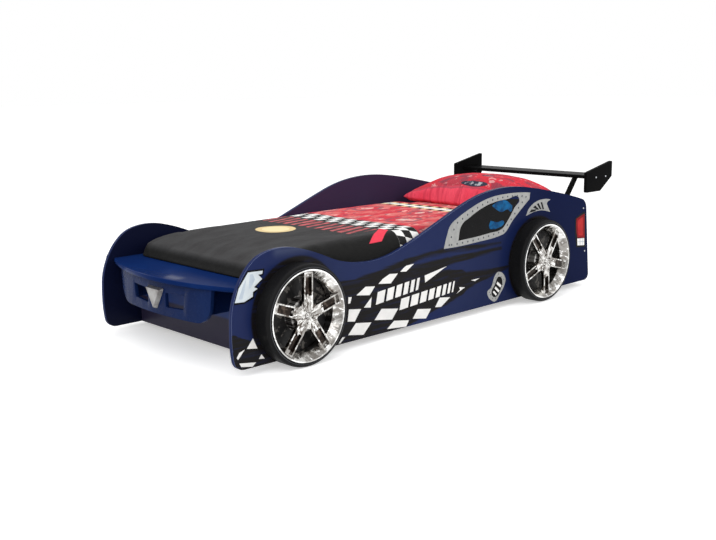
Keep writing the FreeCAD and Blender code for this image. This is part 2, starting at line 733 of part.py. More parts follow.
# ---------------------------------------------------------------- slatted base
def slatted_base():
    rail_top = "slat_top - slat_thickness"
    rail_front = "front_board_x + board_thickness"
    for name, side in SIDES:
        near_face = "-inside_width / 2" if side < 0 else "inside_width / 2 - rail_width"
        board("side_rail_" + name, f"rail_rear - ({rail_front})", "rail_width", "rail_height",
              rail_front, near_face, f"{rail_top} - rail_height")
        leg_face = "-inside_width / 2" if side < 0 else "inside_width / 2 - leg_side"
        for end in ("front", "rear"):
            board(f"{end}_leg_{name}", "leg_side", "leg_side", f"{rail_top} - rail_height - glide_height",
                  f"{end}_leg_x - leg_side / 2", leg_face, "glide_height")
    board("centre_beam", f"rail_rear - ({rail_front})", "beam_width", "rail_height",
          rail_front, "-beam_width / 2", f"{rail_top} - rail_height")
    for name, sign in (("front", -1), ("rear", 1)):
        board(f"beam_leg_{name}", "beam_width", "beam_width", f"{rail_top} - rail_height - glide_height",
              f"{sign} * beam_leg_x - beam_width / 2", "-beam_width / 2", "glide_height")
    count = int(s.slat_count)
    for i in range(count):
        start = f"mattress_front + {i} * (mattress_length - slat_width) / (slat_count - 1)"
        board(f"slat_{i + 1:02d}", "slat_width", "inside_width - 2 * slat_end_gap", "slat_thickness",
              start, "-inside_width / 2 + slat_end_gap", rail_top)


def glides():
    """Plastic glides under the six legs: the faces on which the bed stands."""
    inset = s.inside_width / 2 - s.leg_side / 2
    spots = [(x, side * inset) for x in (s.front_leg_x, s.rear_leg_x) for side in (-1, 1)]
    spots += [(sign * s.beam_leg_x, 0) for sign in (-1, 1)]
    return group("leg_glides", [Part.makeCylinder(s.glide_radius, s.glide_height, Vector(x, y, 0))
                                for x, y in spots])


def corner_cleats():
    """Timber cleats that tie front board and headboard to the panels, hidden inside."""
    side_y = s.inside_width / 2
    cleats = []
    for side in (-1, 1):
        y = -side_y if side < 0 else side_y - s.cleat_side
        front_x = s.front_board_x + s.board_thickness
        cleats.append(Part.makeBox(s.cleat_side, s.cleat_side, s.cleat_height, Vector(front_x, y, s.cleat_bottom)))
        half = s.board_thickness / 2 / math.cos(math.radians(s.rear_lean))
        faces = [(rear_edge_x(z) - s.headboard_inset - half, z)
                 for z in (s.cleat_bottom, s.cleat_bottom + s.cleat_height)]
        outline = [(faces[0][0] - s.cleat_side, faces[0][1]), faces[0], faces[1],
                   (faces[1][0] - s.cleat_side, faces[1][1])]
        corners = [Vector(x, y, z) for x, z in outline + outline[:1]]
        cleats.append(Part.Face(Part.makePolygon(corners)).extrude(Vector(0, s.cleat_side, 0)))
    return group("corner_cleats", cleats)


# ---------------------------------------------------------------- bedding
mattress_top = s.slat_top + s.soft_gap + s.mattress_thickness
quilt_bottom = mattress_top + s.soft_gap
quilt_top = quilt_bottom + s.quilt_thickness


def mattress():
    body = new_body("mattress")
    plan = new_sketch(body, "XY_Plane", "slat_top + soft_gap")
    front, rear, half = s.mattress_front, s.mattress_rear, s.mattress_width / 2
    draw(plan, *rounded_polygon([(front, -half), (rear, -half), (rear, half), (front, half)],
                                [s.mattress_radius] * 4))
    pad(body, plan, "mattress_thickness")
    return body


def quilt():
    """The quilt: humped at the foot, tucked in down both sides, and down to the bonnet at the end."""
    body = new_body("quilt")
    profile = new_sketch(body, "XZ_Plane")
    hem = s.bonnet_top + s.soft_gap
    inside = s.mattress_front - s.soft_gap
    ridge = (s.mattress_front, quilt_top - s.quilt_ridge_drop)
    hump = (s.quilt_front + s.quilt_hump_reach, quilt_top + s.quilt_hump)
    flat_from = s.pillow_front - s.quilt_hump_reach / 2
    lip = (s.quilt_front, hem + s.quilt_hem)
    edge = polygon([(flat_from, quilt_top), (s.quilt_rear, quilt_top), (s.quilt_rear, hem), (s.quilt_front, hem),
                    lip])[:-1]
    knots = [(*lip, 62), (*ridge, 24), (*hump, 0), (flat_from, quilt_top, -1)]
    draw(profile, *smooth_run(knots), *edge)
    pad(body, profile, "inside_width - 2 * soft_gap", both_ways=True)
    bed = new_sketch(body, "XZ_Plane")
    draw(bed, *polygon([(inside, hem - s.quilt_thickness), (s.mattress_rear, hem - s.quilt_thickness),
                        (s.mattress_rear, quilt_bottom), (inside, quilt_bottom)]))
    pocket(body, bed, "mattress_width + 2 * soft_gap", both_ways=True)
    return body


def pillow():
    """A plump pillow whose upper and lower rims slope in all the way round."""
    body = new_body("pillow")
    plan = new_sketch(body, "XY_Plane", "slat_top + 3 * soft_gap + mattress_thickness + quilt_thickness")
    half = s.pillow_width / 2
    rear = s.pillow_front + s.pillow_length
    draw(plan, *rounded_polygon([(s.pillow_front, -half), (rear, -half), (rear, half), (s.pillow_front, half)],
                                [s.pillow_corner] * 4))
    block = pad(body, plan, "pillow_thickness")
    doc.recompute()
    rims = [f"Edge{i}" for i, edge in enumerate(block.Shape.Edges, start=1)
            if abs(edge.BoundBox.ZLength) < s.soft_gap]
    slope = body.newObject("PartDesign::Chamfer", "pillow_slope")
    slope.Base = (block, rims)
    bind(slope, Size="pillow_rim")
    body.Tip = slope
    return body


# ---------------------------------------------------------------- assembly
for name, side in SIDES:
    side_panel("side_panel_" + name, side)
    bumper_gusset("bumper_gusset_" + name, side)
    spoiler_end_plate("spoiler_end_plate_" + name, side)
    spoiler_strut("spoiler_strut_" + name, side)
board("front_board", "board_thickness", "inside_width", "bonnet_top - board_thickness - panel_bottom",
      "front_board_x", "-inside_width / 2", "panel_bottom")
bonnet_shelf()
bumper_face()
grille_badge()
headboard()
spoiler_wing()
wheel_places = []
for name, side in SIDES:
    for end, axle_x, turn in (("front", s.front_axle_x, s.front_wheel_turn),
                              ("rear", s.rear_axle_x, s.rear_wheel_turn)):
        place = wheel_placement(axle_x, side, turn)
        wheel_places.append(place)
        for make in (tyre, rim, wheel_backing):
            make(f"{make.__name__}_{end}_{name}", place)
hub_caps(wheel_places)
wheel_nuts(wheel_places)
panel_screws()
spoiler_screws()
slatted_base()
glides()
corner_cleats()
mattress()
quilt()
pillow()
doc.recompute()

# ---------------------------------------------------------------- checks and export
broken = [f"{thing.Name}: {thing.State}" for thing in doc.Objects
          if "Invalid" in thing.State or "Error" in thing.State]
if broken:
    raise SystemExit("failed objects: " + ", ".join(broken))
pieces = [thing for thing in doc.Objects
          if thing.TypeId in ("PartDesign::Body", "Part::Box", "Part::Feature") and not thing.InList]
for piece in pieces:
    if piece.Shape.isNull() or not piece.Shape.isValid() or not piece.Shape.Solids:
        raise SystemExit("no sound shape: " + piece.Label)
os.makedirs("parts", exist_ok=True)
for piece in pieces:
    piece.Shape.exportStep(f"parts/{piece.Label}.step")
print(len(pieces), "pieces written")
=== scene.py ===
# %% [markdown]
# # A car bed for children
# The bed is built from boards, four moulded wheels and loose bedding. Its construction comes from
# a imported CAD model, so this script adds only what the eye sees: prints, lacquer, chrome and cloth.
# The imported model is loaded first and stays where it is. Every piece made here is in metres, in
# the same frame: +X runs from the nose to the spoiler, +Y across the bed, +Z up from the floor.

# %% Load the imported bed
import bmesh
import bpy
import json
import math
from mathutils import Matrix, Vector, noise

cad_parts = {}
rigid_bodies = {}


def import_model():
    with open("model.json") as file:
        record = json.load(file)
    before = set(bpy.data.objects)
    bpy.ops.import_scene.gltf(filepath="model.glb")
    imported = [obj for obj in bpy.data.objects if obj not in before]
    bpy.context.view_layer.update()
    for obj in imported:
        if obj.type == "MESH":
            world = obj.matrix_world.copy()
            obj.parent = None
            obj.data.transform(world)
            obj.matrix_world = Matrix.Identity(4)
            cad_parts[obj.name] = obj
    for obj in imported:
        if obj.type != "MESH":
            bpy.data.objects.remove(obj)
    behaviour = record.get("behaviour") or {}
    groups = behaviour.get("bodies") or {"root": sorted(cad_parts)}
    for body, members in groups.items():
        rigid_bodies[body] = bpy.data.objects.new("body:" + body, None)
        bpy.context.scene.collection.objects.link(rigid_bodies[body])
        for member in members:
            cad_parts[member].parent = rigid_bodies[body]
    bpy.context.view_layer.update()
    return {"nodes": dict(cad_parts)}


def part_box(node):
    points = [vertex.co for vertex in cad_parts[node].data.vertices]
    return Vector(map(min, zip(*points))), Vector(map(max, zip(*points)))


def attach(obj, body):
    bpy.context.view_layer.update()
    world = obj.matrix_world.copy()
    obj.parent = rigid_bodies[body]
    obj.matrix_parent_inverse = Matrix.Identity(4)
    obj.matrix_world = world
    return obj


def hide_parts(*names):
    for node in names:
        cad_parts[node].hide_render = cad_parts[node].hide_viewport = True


for leftover in list(bpy.data.objects):
    bpy.data.objects.remove(leftover)
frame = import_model()
nodes = frame["nodes"]
MM = 0.001

# %% [markdown]
# The camera stands low beside the nose, a little above the height of a seated person. Its place
# and lens were solved from straight edges of the bed, so the render lies over the photograph.
# A camera could be aimed with a constraint, but three plain vectors show exactly how it stands.

# %% Camera
IMAGE_WIDTH = 716
FOCAL_PIXELS = 957.749
SENSOR_WIDTH = 36
camera_place = Vector((-3.21245, -3.23313, 1.07678))
yaw = math.radians(43.34775)
pitch = math.radians(11.25284)
roll = math.radians(-0.75416)

ahead = Vector((math.sin(yaw) * math.cos(pitch), math.cos(yaw) * math.cos(pitch), -math.sin(pitch)))
level_right = Vector((math.cos(yaw), -math.sin(yaw), 0))
level_up = level_right.cross(ahead)
camera_right = math.cos(roll) * level_right + math.sin(roll) * level_up
camera_up = -math.sin(roll) * level_right + math.cos(roll) * level_up

camera_data = bpy.data.cameras.new("camera")
camera_data.sensor_width = SENSOR_WIDTH
camera_data.lens = FOCAL_PIXELS * SENSOR_WIDTH / IMAGE_WIDTH
camera = bpy.data.objects.new("camera", camera_data)
bpy.context.scene.collection.objects.link(camera)
turn = Matrix((camera_right, camera_up, -ahead)).transposed()
camera.matrix_world = Matrix.Translation(camera_place) @ turn.to_4x4()
bpy.context.scene.camera = camera
bpy.context.scene.view_settings.view_transform = "Standard"
print("lens", round(camera_data.lens, 3), "mm")

# %% [markdown]
# Shader trees are long to write by hand, so small helpers come first. `feed` links a socket or
# sets its number, `calc` is one Math node, and `start_material` opens a material on its
# Principled shader. Colours are written as the eye reads them on a screen, 0 to 255, and
# `seen` turns them into the linear values that a shader works with.

# %% Helpers for shader trees
def seen(red, green, blue):
    """A screen colour from 0 to 255 as the linear colour of a shader."""
    values = []
    for value in (red, green, blue):
        share = value / 255
        values.append(share / 12.92 if share <= 0.04045 else ((share + 0.055) / 1.055) ** 2.4)
    return (*values, 1.0)


def add_node(tree, kind, **settings):
    new = tree.nodes.new(kind)
    for name, value in settings.items():
        setattr(new, name, value)
    return new


def feed(tree, socket, value):
    if isinstance(value, bpy.types.NodeSocket):
        tree.links.new(value, socket)
    elif value is not None:
        socket.default_value = value


def calc(tree, operation, first, second=None, third=None):
    """One Math node; returns its output."""
    new = add_node(tree, "ShaderNodeMath", operation=operation)
    for socket, value in zip(new.inputs, (first, second, third)):
        feed(tree, socket, value)
    return new.outputs[0]


def times(tree, first, second):
    return calc(tree, "MULTIPLY", first, second)


def ramp_up(tree, value, low, high, soft=True):
    """0 below low, 1 above high."""
    kind = "SMOOTHSTEP" if soft else "LINEAR"
    new = add_node(tree, "ShaderNodeMapRange", interpolation_type=kind)
    feed(tree, new.inputs["Value"], value)
    feed(tree, new.inputs["From Min"], low)
    feed(tree, new.inputs["From Max"], high)
    return new.outputs["Result"]


def ramp_down(tree, value, low, high, soft=True):
    """1 below low, 0 above high."""
    return calc(tree, "SUBTRACT", 1.0, ramp_up(tree, value, low, high, soft))


def between(tree, value, low, high, soft=0.001):
    """1 where low < value < high."""
    above = ramp_up(tree, value, low - soft, low + soft, soft=False)
    below = ramp_up(tree, value, high - soft, high + soft, soft=False)
    return calc(tree, "SUBTRACT", above, below)


def mix_colour(tree, share, first, second, blend="MIX"):
    new = add_node(tree, "ShaderNodeMix", data_type="RGBA", blend_type=blend)
    feed(tree, new.inputs[0], share)
    feed(tree, new.inputs[6], first)
    feed(tree, new.inputs[7], second)
    return new.outputs[2]


def paint(tree, shader, share, first, second):
    """A base colour between two others."""
    feed(tree, shader.inputs["Base Color"], mix_colour(tree, share, first, second))


def vary(tree, shader, label, mask, span, least):
    """A shader socket that runs from least to least + span with a mask."""
    feed(tree, shader.inputs[label], calc(tree, "MULTIPLY_ADD", mask, span, least))


def place_of(tree):
    """Object coordinates as a vector and as three numbers."""
    vector = add_node(tree, "ShaderNodeTexCoord").outputs["Object"]
    split = add_node(tree, "ShaderNodeSeparateXYZ")
    feed(tree, split.inputs[0], vector)
    return vector, split.outputs[0], split.outputs[1], split.outputs[2]


def noise_of(tree, vector, scale, detail=3.0, roughness=0.5, distortion=0.0):
    new = add_node(tree, "ShaderNodeTexNoise")
    feed(tree, new.inputs["Vector"], vector)
    feed(tree, new.inputs["Scale"], scale)
    feed(tree, new.inputs["Detail"], detail)
    feed(tree, new.inputs["Roughness"], roughness)
    feed(tree, new.inputs["Distortion"], distortion)
    return new.outputs[0]


def stretch(tree, vector, scale, turned=(0, 0, 0)):
    new = add_node(tree, "ShaderNodeMapping")
    feed(tree, new.inputs["Vector"], vector)
    new.inputs["Scale"].default_value = scale
    new.inputs["Rotation"].default_value = turned
    return new.outputs[0]


def bump(tree, shader, height, strength, distance):
    new = add_node(tree, "ShaderNodeBump")
    new.inputs["Strength"].default_value = strength
    new.inputs["Distance"].default_value = distance
    feed(tree, new.inputs["Height"], height)
    feed(tree, shader.inputs["Normal"], new.outputs[0])


def start_material(name, colour, roughness, **sockets):
    material = bpy.data.materials.new(name)
    material.use_nodes = True
    tree = material.node_tree
    shader = tree.nodes["Principled BSDF"]
    shader.inputs["Base Color"].default_value = colour
    shader.inputs["Roughness"].default_value = roughness
    for label, value in sockets.items():
        shader.inputs[label.replace("_", " ")].default_value = value
    return material, tree, shader


def start_group(name, inputs, outputs):
    """A shader node group; inputs are (label, socket type, value), outputs (label, socket type)."""
    group = bpy.data.node_groups.new(name, "ShaderNodeTree")
    for label, kind, value in inputs:
        socket = group.interface.new_socket(label, in_out="INPUT", socket_type=kind)
        if value is not None:
            socket.default_value = value
    for label, kind in outputs:
        group.interface.new_socket(label, in_out="OUTPUT", socket_type=kind)
    source = group.nodes.new("NodeGroupInput").outputs
    sink = group.nodes.new("NodeGroupOutput").inputs
    return group, source, sink


def use_group(tree, group, **values):
    new = add_node(tree, "ShaderNodeGroup", node_tree=group)
    for label, value in values.items():
        feed(tree, new.inputs[label.replace("_", " ")], value)
    return new.outputs


FLOAT = "NodeSocketFloat"
VECTOR = "NodeSocketVector"
print("shader helpers ready")

# %% [markdown]
# Every new piece ends in the same way. A bmesh or a curve gives its mesh, the mesh gets one
# material and becomes an object, and the object rides on a body of the bed. Most pieces come in
# pairs, near and far, on the -Y and the +Y side.

# %% Helpers for pieces
SIDES = ((-1, "near"), (1, "far"))


def mesh_from(name, shell, smooth=False):
    """The mesh of a bmesh, which is freed."""
    mesh = bpy.data.meshes.new(name)
    shell.to_mesh(mesh)
    shell.free()
    for face in mesh.polygons:
        face.use_smooth = smooth
    return mesh


def mesh_from_curve(name, curve):
    """The mesh of a curve, which needs an object for as long as that takes."""
    drawing = bpy.data.objects.new(name, curve)
    mesh = bpy.data.meshes.new_from_object(drawing)
    bpy.data.objects.remove(drawing)
    return mesh


def add_piece(name, mesh, material, body="bed_frame"):
    mesh.name = name
    mesh.materials.clear()
    mesh.materials.append(material)
    piece = bpy.data.objects.new(name, mesh)
    bpy.context.scene.collection.objects.link(piece)
    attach(piece, body)
    return piece


print("piece helpers ready")

# %% [markdown]
# The bed stands on a plain pale floor in soft light, as in a studio. The floor could be an endless
# sweep, but one large plane is simpler, because the white behind it comes from the world: rays
# from the camera, and rays that gloss or glass sends on, see a white of strength 1. The light
# that falls on the bed comes more from overhead than from the sides, so upright faces and
# hollows stay darker than level ones.

# %% World
def seen_rays(tree):
    """1 for rays from the camera and for those that gloss or glass sends on."""
    rays = add_node(tree, "ShaderNodeLightPath").outputs
    directly = calc(tree, "MAXIMUM", rays["Is Camera Ray"], rays["Is Glossy Ray"])
    return calc(tree, "MAXIMUM", directly, rays["Is Transmission Ray"])


world = bpy.data.worlds.new("studio")
bpy.context.scene.world = world
world.use_nodes = True
sky = world.node_tree
backdrop = sky.nodes["Background"]
SIDE_LEVEL = 0.6
TOP_LEVEL = 0.84
heading = add_node(sky, "ShaderNodeSeparateXYZ")
feed(sky, heading.inputs[0], add_node(sky, "ShaderNodeTexCoord").outputs["Generated"])
overhead = ramp_up(sky, heading.outputs[2], 0.05, 0.95)
room_level = calc(sky, "MULTIPLY_ADD", overhead, TOP_LEVEL - SIDE_LEVEL, SIDE_LEVEL)
missing_level = calc(sky, "SUBTRACT", 1.0, room_level)
strength = calc(sky, "MULTIPLY_ADD", seen_rays(sky), missing_level, room_level)
feed(sky, backdrop.inputs["Strength"], strength)
backdrop.inputs["Color"].default_value = (1, 1, 1, 1)
print("world level", SIDE_LEVEL, "at the sides and", TOP_LEVEL, "overhead")

# %% [markdown]
# The floor is lit as the bed is, so it would look grey against the white world. A little glow
# that only the seen rays pick up lifts it to white, and puts no light on the bed.

# %% Floor
FLOOR_REACH = 40
FLOOR_LIFT = 0.45
floor_mesh = bpy.data.meshes.new("floor")
sheet = bmesh.new()
bmesh.ops.create_grid(sheet, x_segments=1, y_segments=1, size=FLOOR_REACH)
sheet.to_mesh(floor_mesh)
sheet.free()
floor = bpy.data.objects.new("floor", floor_mesh)
bpy.context.scene.collection.objects.link(floor)
floor_paint, floor_tree, floor_shader = start_material("pale_floor", (0.86, 0.86, 0.86, 1), 0.9)
floor_shader.inputs["Specular IOR Level"].default_value = 0.1
floor_place = place_of(floor_tree)[0]
floor_grain = noise_of(floor_tree, floor_place, 30.0)
floor_tone = mix_colour(floor_tree, floor_grain, (0.85, 0.85, 0.85, 1), (0.87, 0.87, 0.87, 1))
feed(floor_tree, floor_shader.inputs["Base Color"], floor_tone)
floor_shader.inputs["Emission Color"].default_value = (1, 1, 1, 1)
floor_glow = times(floor_tree, seen_rays(floor_tree), FLOOR_LIFT)
feed(floor_tree, floor_shader.inputs["Emission Strength"], floor_glow)
floor_mesh.materials.append(floor_paint)
print("floor laid")

# %% [markdown]
# Three large soft lamps shape the bed: one overhead, one before the nose, and one at the near
# side. Smaller lamps would show as hard glints in the lacquer and the chrome.

# %% Lamps
def softbox(name, place, aim, size, power):
    data = bpy.data.lights.new(name, "AREA")
    data.shape = "RECTANGLE"
    data.size, data.size_y = size
    data.energy = power
    lamp = bpy.data.objects.new(name, data)
    bpy.context.scene.collection.objects.link(lamp)
    lamp.location = place
    lamp.rotation_euler = (Vector(aim) - Vector(place)).to_track_quat("-Z", "Y").to_euler()
    return lamp


softbox("top_light", (-0.4, 0.2, 3.4), (-0.1, 0, 0.3), (4.4, 3.0), 52)
softbox("key_light", (-3.4, -1.6, 2.3), (-0.6, 0, 0.3), (2.8, 2.4), 48)
softbox("side_light", (1.8, -3.6, 1.9), (0.3, -0.4, 0.3), (3.6, 2.4), 56)
print("stage set with", len(bpy.data.lights), "lamps")

# %% [markdown]
# Several finishes share the same small effects: cloudy colour, the faint waviness of lacquer, and
# soft airbrushed strokes. Each becomes a node group with named sockets, built once. A group puts
# out only masks and heights, and the shader that uses them stays in its own material.

# %% Shared effects
clouds, source, sink = start_group(
    "cloudy_mask",
    [("Vector", VECTOR, None), ("Scale", FLOAT, 8.0), ("Low", FLOAT, 0.4), ("High", FLOAT, 0.6)],
    [("Mask", FLOAT)],
)
cloud = noise_of(clouds, source["Vector"], source["Scale"], detail=4.0, roughness=0.55, distortion=0.4)
feed(clouds, sink["Mask"], ramp_up(clouds, cloud, source["Low"], source["High"]))

lacquer_skin, source, sink = start_group(
    "lacquer_skin",
    [("Vector", VECTOR, None), ("Scale", FLOAT, 260.0), ("Fineness", FLOAT, 0.35)],
    [("Height", FLOAT)],
)
wide_wave = noise_of(lacquer_skin, source["Vector"], source["Scale"], detail=1.0)
fine_scale = times(lacquer_skin, source["Scale"], 5.0)
fine_wave = noise_of(lacquer_skin, source["Vector"], fine_scale, detail=2.0)
skin_height = calc(lacquer_skin, "MULTIPLY_ADD", fine_wave, source["Fineness"], wide_wave)
feed(lacquer_skin, sink["Height"], skin_height)


def cloudy(tree, vector, scale, low=0.3, high=0.7):
    """0 to 1 in soft patches; the nearer low and high, the sharper."""
    return use_group(tree, clouds, Vector=vector, Scale=scale, Low=low, High=high)["Mask"]


def wavy_skin(tree, shader, vector, scale, fineness, strength, distance):
    """The faint waviness of lacquer, as a bump."""
    skin = use_group(tree, lacquer_skin, Vector=vector, Scale=scale, Fineness=fineness)
    bump(tree, shader, skin["Height"], strength, distance)


print("cloudy mask and lacquer skin ready")

# %% [markdown]
# An airbrushed stroke is the distance from a line between two places, compared with a width that
# changes on the way. Noise could give loose streaks, but not ones that start and end where the
# photograph shows them.

# %% Airbrushed stroke
stroke_labels = (
    "X", "Z", "Start X", "Start Z", "End X", "End Z", "Start Width", "End Width", "Softness",
)
airbrush, source, sink = start_group(
    "airbrush_stroke", [(label, FLOAT, 0.0) for label in stroke_labels], [("Mask", FLOAT)]
)
run_x = calc(airbrush, "SUBTRACT", source["End X"], source["Start X"])
run_z = calc(airbrush, "SUBTRACT", source["End Z"], source["Start Z"])
off_x = calc(airbrush, "SUBTRACT", source["X"], source["Start X"])
off_z = calc(airbrush, "SUBTRACT", source["Z"], source["Start Z"])
along_x = times(airbrush, off_x, run_x)
along = calc(airbrush, "MULTIPLY_ADD", off_z, run_z, along_x)
run_square = calc(airbrush, "MULTIPLY_ADD", run_z, run_z, times(airbrush, run_x, run_x))
share = calc(airbrush, "DIVIDE", along, run_square)
share = calc(airbrush, "MINIMUM", calc(airbrush, "MAXIMUM", share, 0.0), 1.0)
gap_x = calc(airbrush, "SUBTRACT", off_x, times(airbrush, share, run_x))
gap_z = calc(airbrush, "SUBTRACT", off_z, times(airbrush, share, run_z))
gap_square = calc(airbrush, "MULTIPLY_ADD", gap_z, gap_z, times(airbrush, gap_x, gap_x))
gap = calc(airbrush, "SQRT", gap_square)
widening = calc(airbrush, "SUBTRACT", source["End Width"], source["Start Width"])
half_width = calc(airbrush, "MULTIPLY_ADD", share, widening, source["Start Width"])
depth_inside = calc(airbrush, "SUBTRACT", half_width, gap)
edge_out = times(airbrush, source["Softness"], -0.5)
edge_in = times(airbrush, source["Softness"], 0.5)
feed(airbrush, sink["Mask"], ramp_up(airbrush, depth_inside, edge_out, edge_in))


def stroke(tree, x, z, start, end, widths, softness):
    """The mask of one tapered stroke; widths are half widths at its start and end."""
    return use_group(
        tree, airbrush, X=x, Z=z, Start_X=start[0], Start_Z=start[1], End_X=end[0], End_Z=end[1],
        Start_Width=widths[0], End_Width=widths[1], Softness=softness,
    )["Mask"]


print("airbrush inputs:", len(stroke_labels))

# %% [markdown]
# Softwood needs fibres along its length and cloth needs crossing threads. Both come from wave and
# noise textures that are stretched or crossed, and both give a height for the bump as well.

# %% Timber grain and plain weave
grain, source, sink = start_group(
    "timber_grain", [("Vector", VECTOR, None), ("Scale", FLOAT, 20.0)],
    [("Mask", FLOAT), ("Height", FLOAT)],
)
along_grain = stretch(grain, source["Vector"], (0.06, 1.0, 1.0))
fibres = noise_of(grain, along_grain, source["Scale"], 6.0, 0.6, 0.8)
rings = add_node(grain, "ShaderNodeTexWave", bands_direction="Y", wave_profile="SAW")
feed(grain, rings.inputs["Vector"], stretch(grain, source["Vector"], (0.15, 1.0, 1.0)))
feed(grain, rings.inputs["Scale"], times(grain, source["Scale"], 0.5))
rings.inputs["Distortion"].default_value = 6.0
rings.inputs["Detail"].default_value = 2.0
grain_mask = times(grain, fibres, rings.outputs["Fac"])
feed(grain, sink["Mask"], grain_mask)
feed(grain, sink["Height"], fibres)

weave, source, sink = start_group(
    "plain_weave",
    [("Vector", VECTOR, None), ("Threads", FLOAT, 900.0)],
    [("Height", FLOAT), ("Slub", FLOAT)],
)
warp = add_node(weave, "ShaderNodeTexWave", bands_direction="X")
weft = add_node(weave, "ShaderNodeTexWave", bands_direction="Y")
for thread in (warp, weft):
    feed(weave, thread.inputs["Vector"], source["Vector"])
    feed(weave, thread.inputs["Scale"], source["Threads"])
    thread.inputs["Distortion"].default_value = 0.6
crossing = times(weave, warp.outputs["Fac"], weft.outputs["Fac"])
feed(weave, sink["Height"], crossing)
slubs = noise_of(weave, stretch(weave, source["Vector"], (1.0, 14.0, 1.0)), 40.0, 2.0)
feed(weave, sink["Slub"], slubs)
print("node groups:", [group.name for group in bpy.data.node_groups])

# %% [markdown]
# The side panels are 18 mm boards with a printed film on the outside: navy blue, with black
# airbrushed streaks that fan out behind the front wheel. A picture could carry the print, but the
# streaks are few, so each is a soft tapered stroke from one point to another, on the panel's own
# plane. The inner face is one plain colour under painted shade, darker navy low down and towards
# the nose. A thin pale line along the rounded outer edge is a painted highlight, and a paler
# stroke along the top of the front wheel arch is a painted sheen.

# %% Printed side panels
NAVY = seen(23, 34, 76)
NAVY_LIT = seen(31, 41, 78)
NAVY_TAIL = seen(13, 22, 56)
# the painted sheen along the top of the front wheel arch
NAVY_CREST_SHEEN = seen(64, 72, 98)
# painted shade, low on the inner face and towards the nose
INNER_NAVY_SHADE = seen(13, 17, 40)
INNER_PURPLE = seen(54, 44, 70)
PRINT_BLACK = seen(21, 19, 19)
# the painted highlight along the panel's rounded outer edge
EDGE_HIGHLIGHT_PALE = seen(122, 134, 168)
PANEL_FACE = 0.4725
PANEL_BACK = 0.4558
CREST_START = (-0.09, 0.452)
CREST_END = (0.15, 0.444)
WHEEL_HEIGHT = 0.2
front_axle, rear_axle = [
    sum(corner.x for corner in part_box(tyre)) / 2 for tyre in ("tyre_front_near", "tyre_rear_near")
]
# the black that lies round each wheel
WHEEL_SHADOWS = ((front_axle, 0.222), (rear_axle, 0.214))
# start x, start z, end x, end z, half width at start and end, softness (millimetres)
STREAKS = (
    (-720, 150, -330, 155, 140, 122, 6),
    (-330, 155, 20, 168, 122, 62, 8),
    (20, 168, 395, 195, 44, 3, 10),
    (-600, 258, -162, 339, 34, 4, 16),
    (-420, 230, -60, 280, 62, 20, 12),
    (-60, 279, 318, 291, 19, 7, 14),
    (-335, 318, -90, 333, 9, 13, 14),
    (-110, 331, 60, 324, 11, 6, 12),
    (60, 324, 318, 318, 7, 2, 10),
    (-1235, 150, -1140, 60, 22, 60, 4),
    (-1190, 70, -1080, 60, 60, 70, 4),
)


def panel_print():
    material, tree, shader = start_material("panel_print", NAVY, 0.26, Specular_IOR_Level=0.015)
    vector, x, y, z = place_of(tree)
    drift = noise_of(tree, stretch(tree, vector, (2.2, 1, 30), (0, math.radians(6), 0)), 2.0, 3.0)
    brushed_z = calc(tree, "MULTIPLY_ADD", drift, 0.03, calc(tree, "SUBTRACT", z, 0.015))
    black = 0.0
    for streak in STREAKS:
        start_x, start_z, end_x, end_z, *widths, softness = [size * MM for size in streak]
        start, end = (start_x, start_z), (end_x, end_z)
        streak_mask = stroke(tree, x, brushed_z, start, end, widths, softness)
        black = calc(tree, "MAXIMUM", black, streak_mask)
    for axle, reach in WHEEL_SHADOWS:
        hub, above = (axle, WHEEL_HEIGHT), (axle, WHEEL_HEIGHT + MM)
        shadow = stroke(tree, x, z, hub, above, (reach, reach), 12 * MM)
        black = calc(tree, "MAXIMUM", black, shadow)
    brushed = stretch(tree, vector, (2.5, 1, 34), (0, math.radians(6), 0))
    feather = cloudy(tree, brushed, 2.4, 0.34, 0.5)
    black = times(tree, black, calc(tree, "MULTIPLY_ADD", feather, 0.24, 0.76))
    away = calc(tree, "ABSOLUTE", y)
    outside = ramp_up(tree, away, PANEL_FACE - 0.0004, PANEL_FACE, soft=False)
    inside = ramp_down(tree, away, PANEL_BACK - 0.0005, PANEL_BACK + 0.0005, soft=False)
    sheen = cloudy(tree, vector, 2.2)
    blue = mix_colour(tree, sheen, NAVY, NAVY_LIT)
    tail = ramp_up(tree, x, -0.3, 0.8)
    blue = mix_colour(tree, tail, blue, NAVY_TAIL)
    shader.inputs["Coat Roughness"].default_value = 0.26
    vary(tree, shader, "Coat Weight", tail, -0.12, 0.12)
    from_axle = calc(tree, "SUBTRACT", x, front_axle)
    # painted sheen: a paler stroke along the top of the front wheel arch
    crest_sheen = stroke(tree, from_axle, z, CREST_START, CREST_END, (0.012, 0.006), 0.05)
    blue = mix_colour(tree, times(tree, crest_sheen, 0.8), blue, NAVY_CREST_SHEEN)
    printed = mix_colour(tree, times(tree, black, outside), blue, PRINT_BLACK)
    # painted shade: the plain inner face is darker navy low down and towards the nose, purple higher
    # up
    up_and_back = calc(tree, "MULTIPLY_ADD", z, 1.4, x)
    inner_shading = mix_colour(tree, ramp_up(tree, up_and_back, -0.35, 0.6), INNER_NAVY_SHADE, INNER_PURPLE)
    finished = mix_colour(tree, inside, printed, inner_shading)
    # painted highlight: a thin pale line along the rounded outer edge
    edge_highlight = between(tree, away, PANEL_FACE - 0.0009, PANEL_FACE + 0.0003, 0.0002)
    finished = mix_colour(tree, times(tree, edge_highlight, 0.75), finished, EDGE_HIGHLIGHT_PALE)
    feed(tree, shader.inputs["Base Color"], finished)
    vary(tree, shader, "Roughness", inside, 0.2, 0.26)
    wavy_skin(tree, shader, vector, 22.0, 0.05, 0.04, 0.0008)
    return material


FLAT_ENOUGH = math.radians(0.5)
SHARP_ENOUGH = math.radians(40)


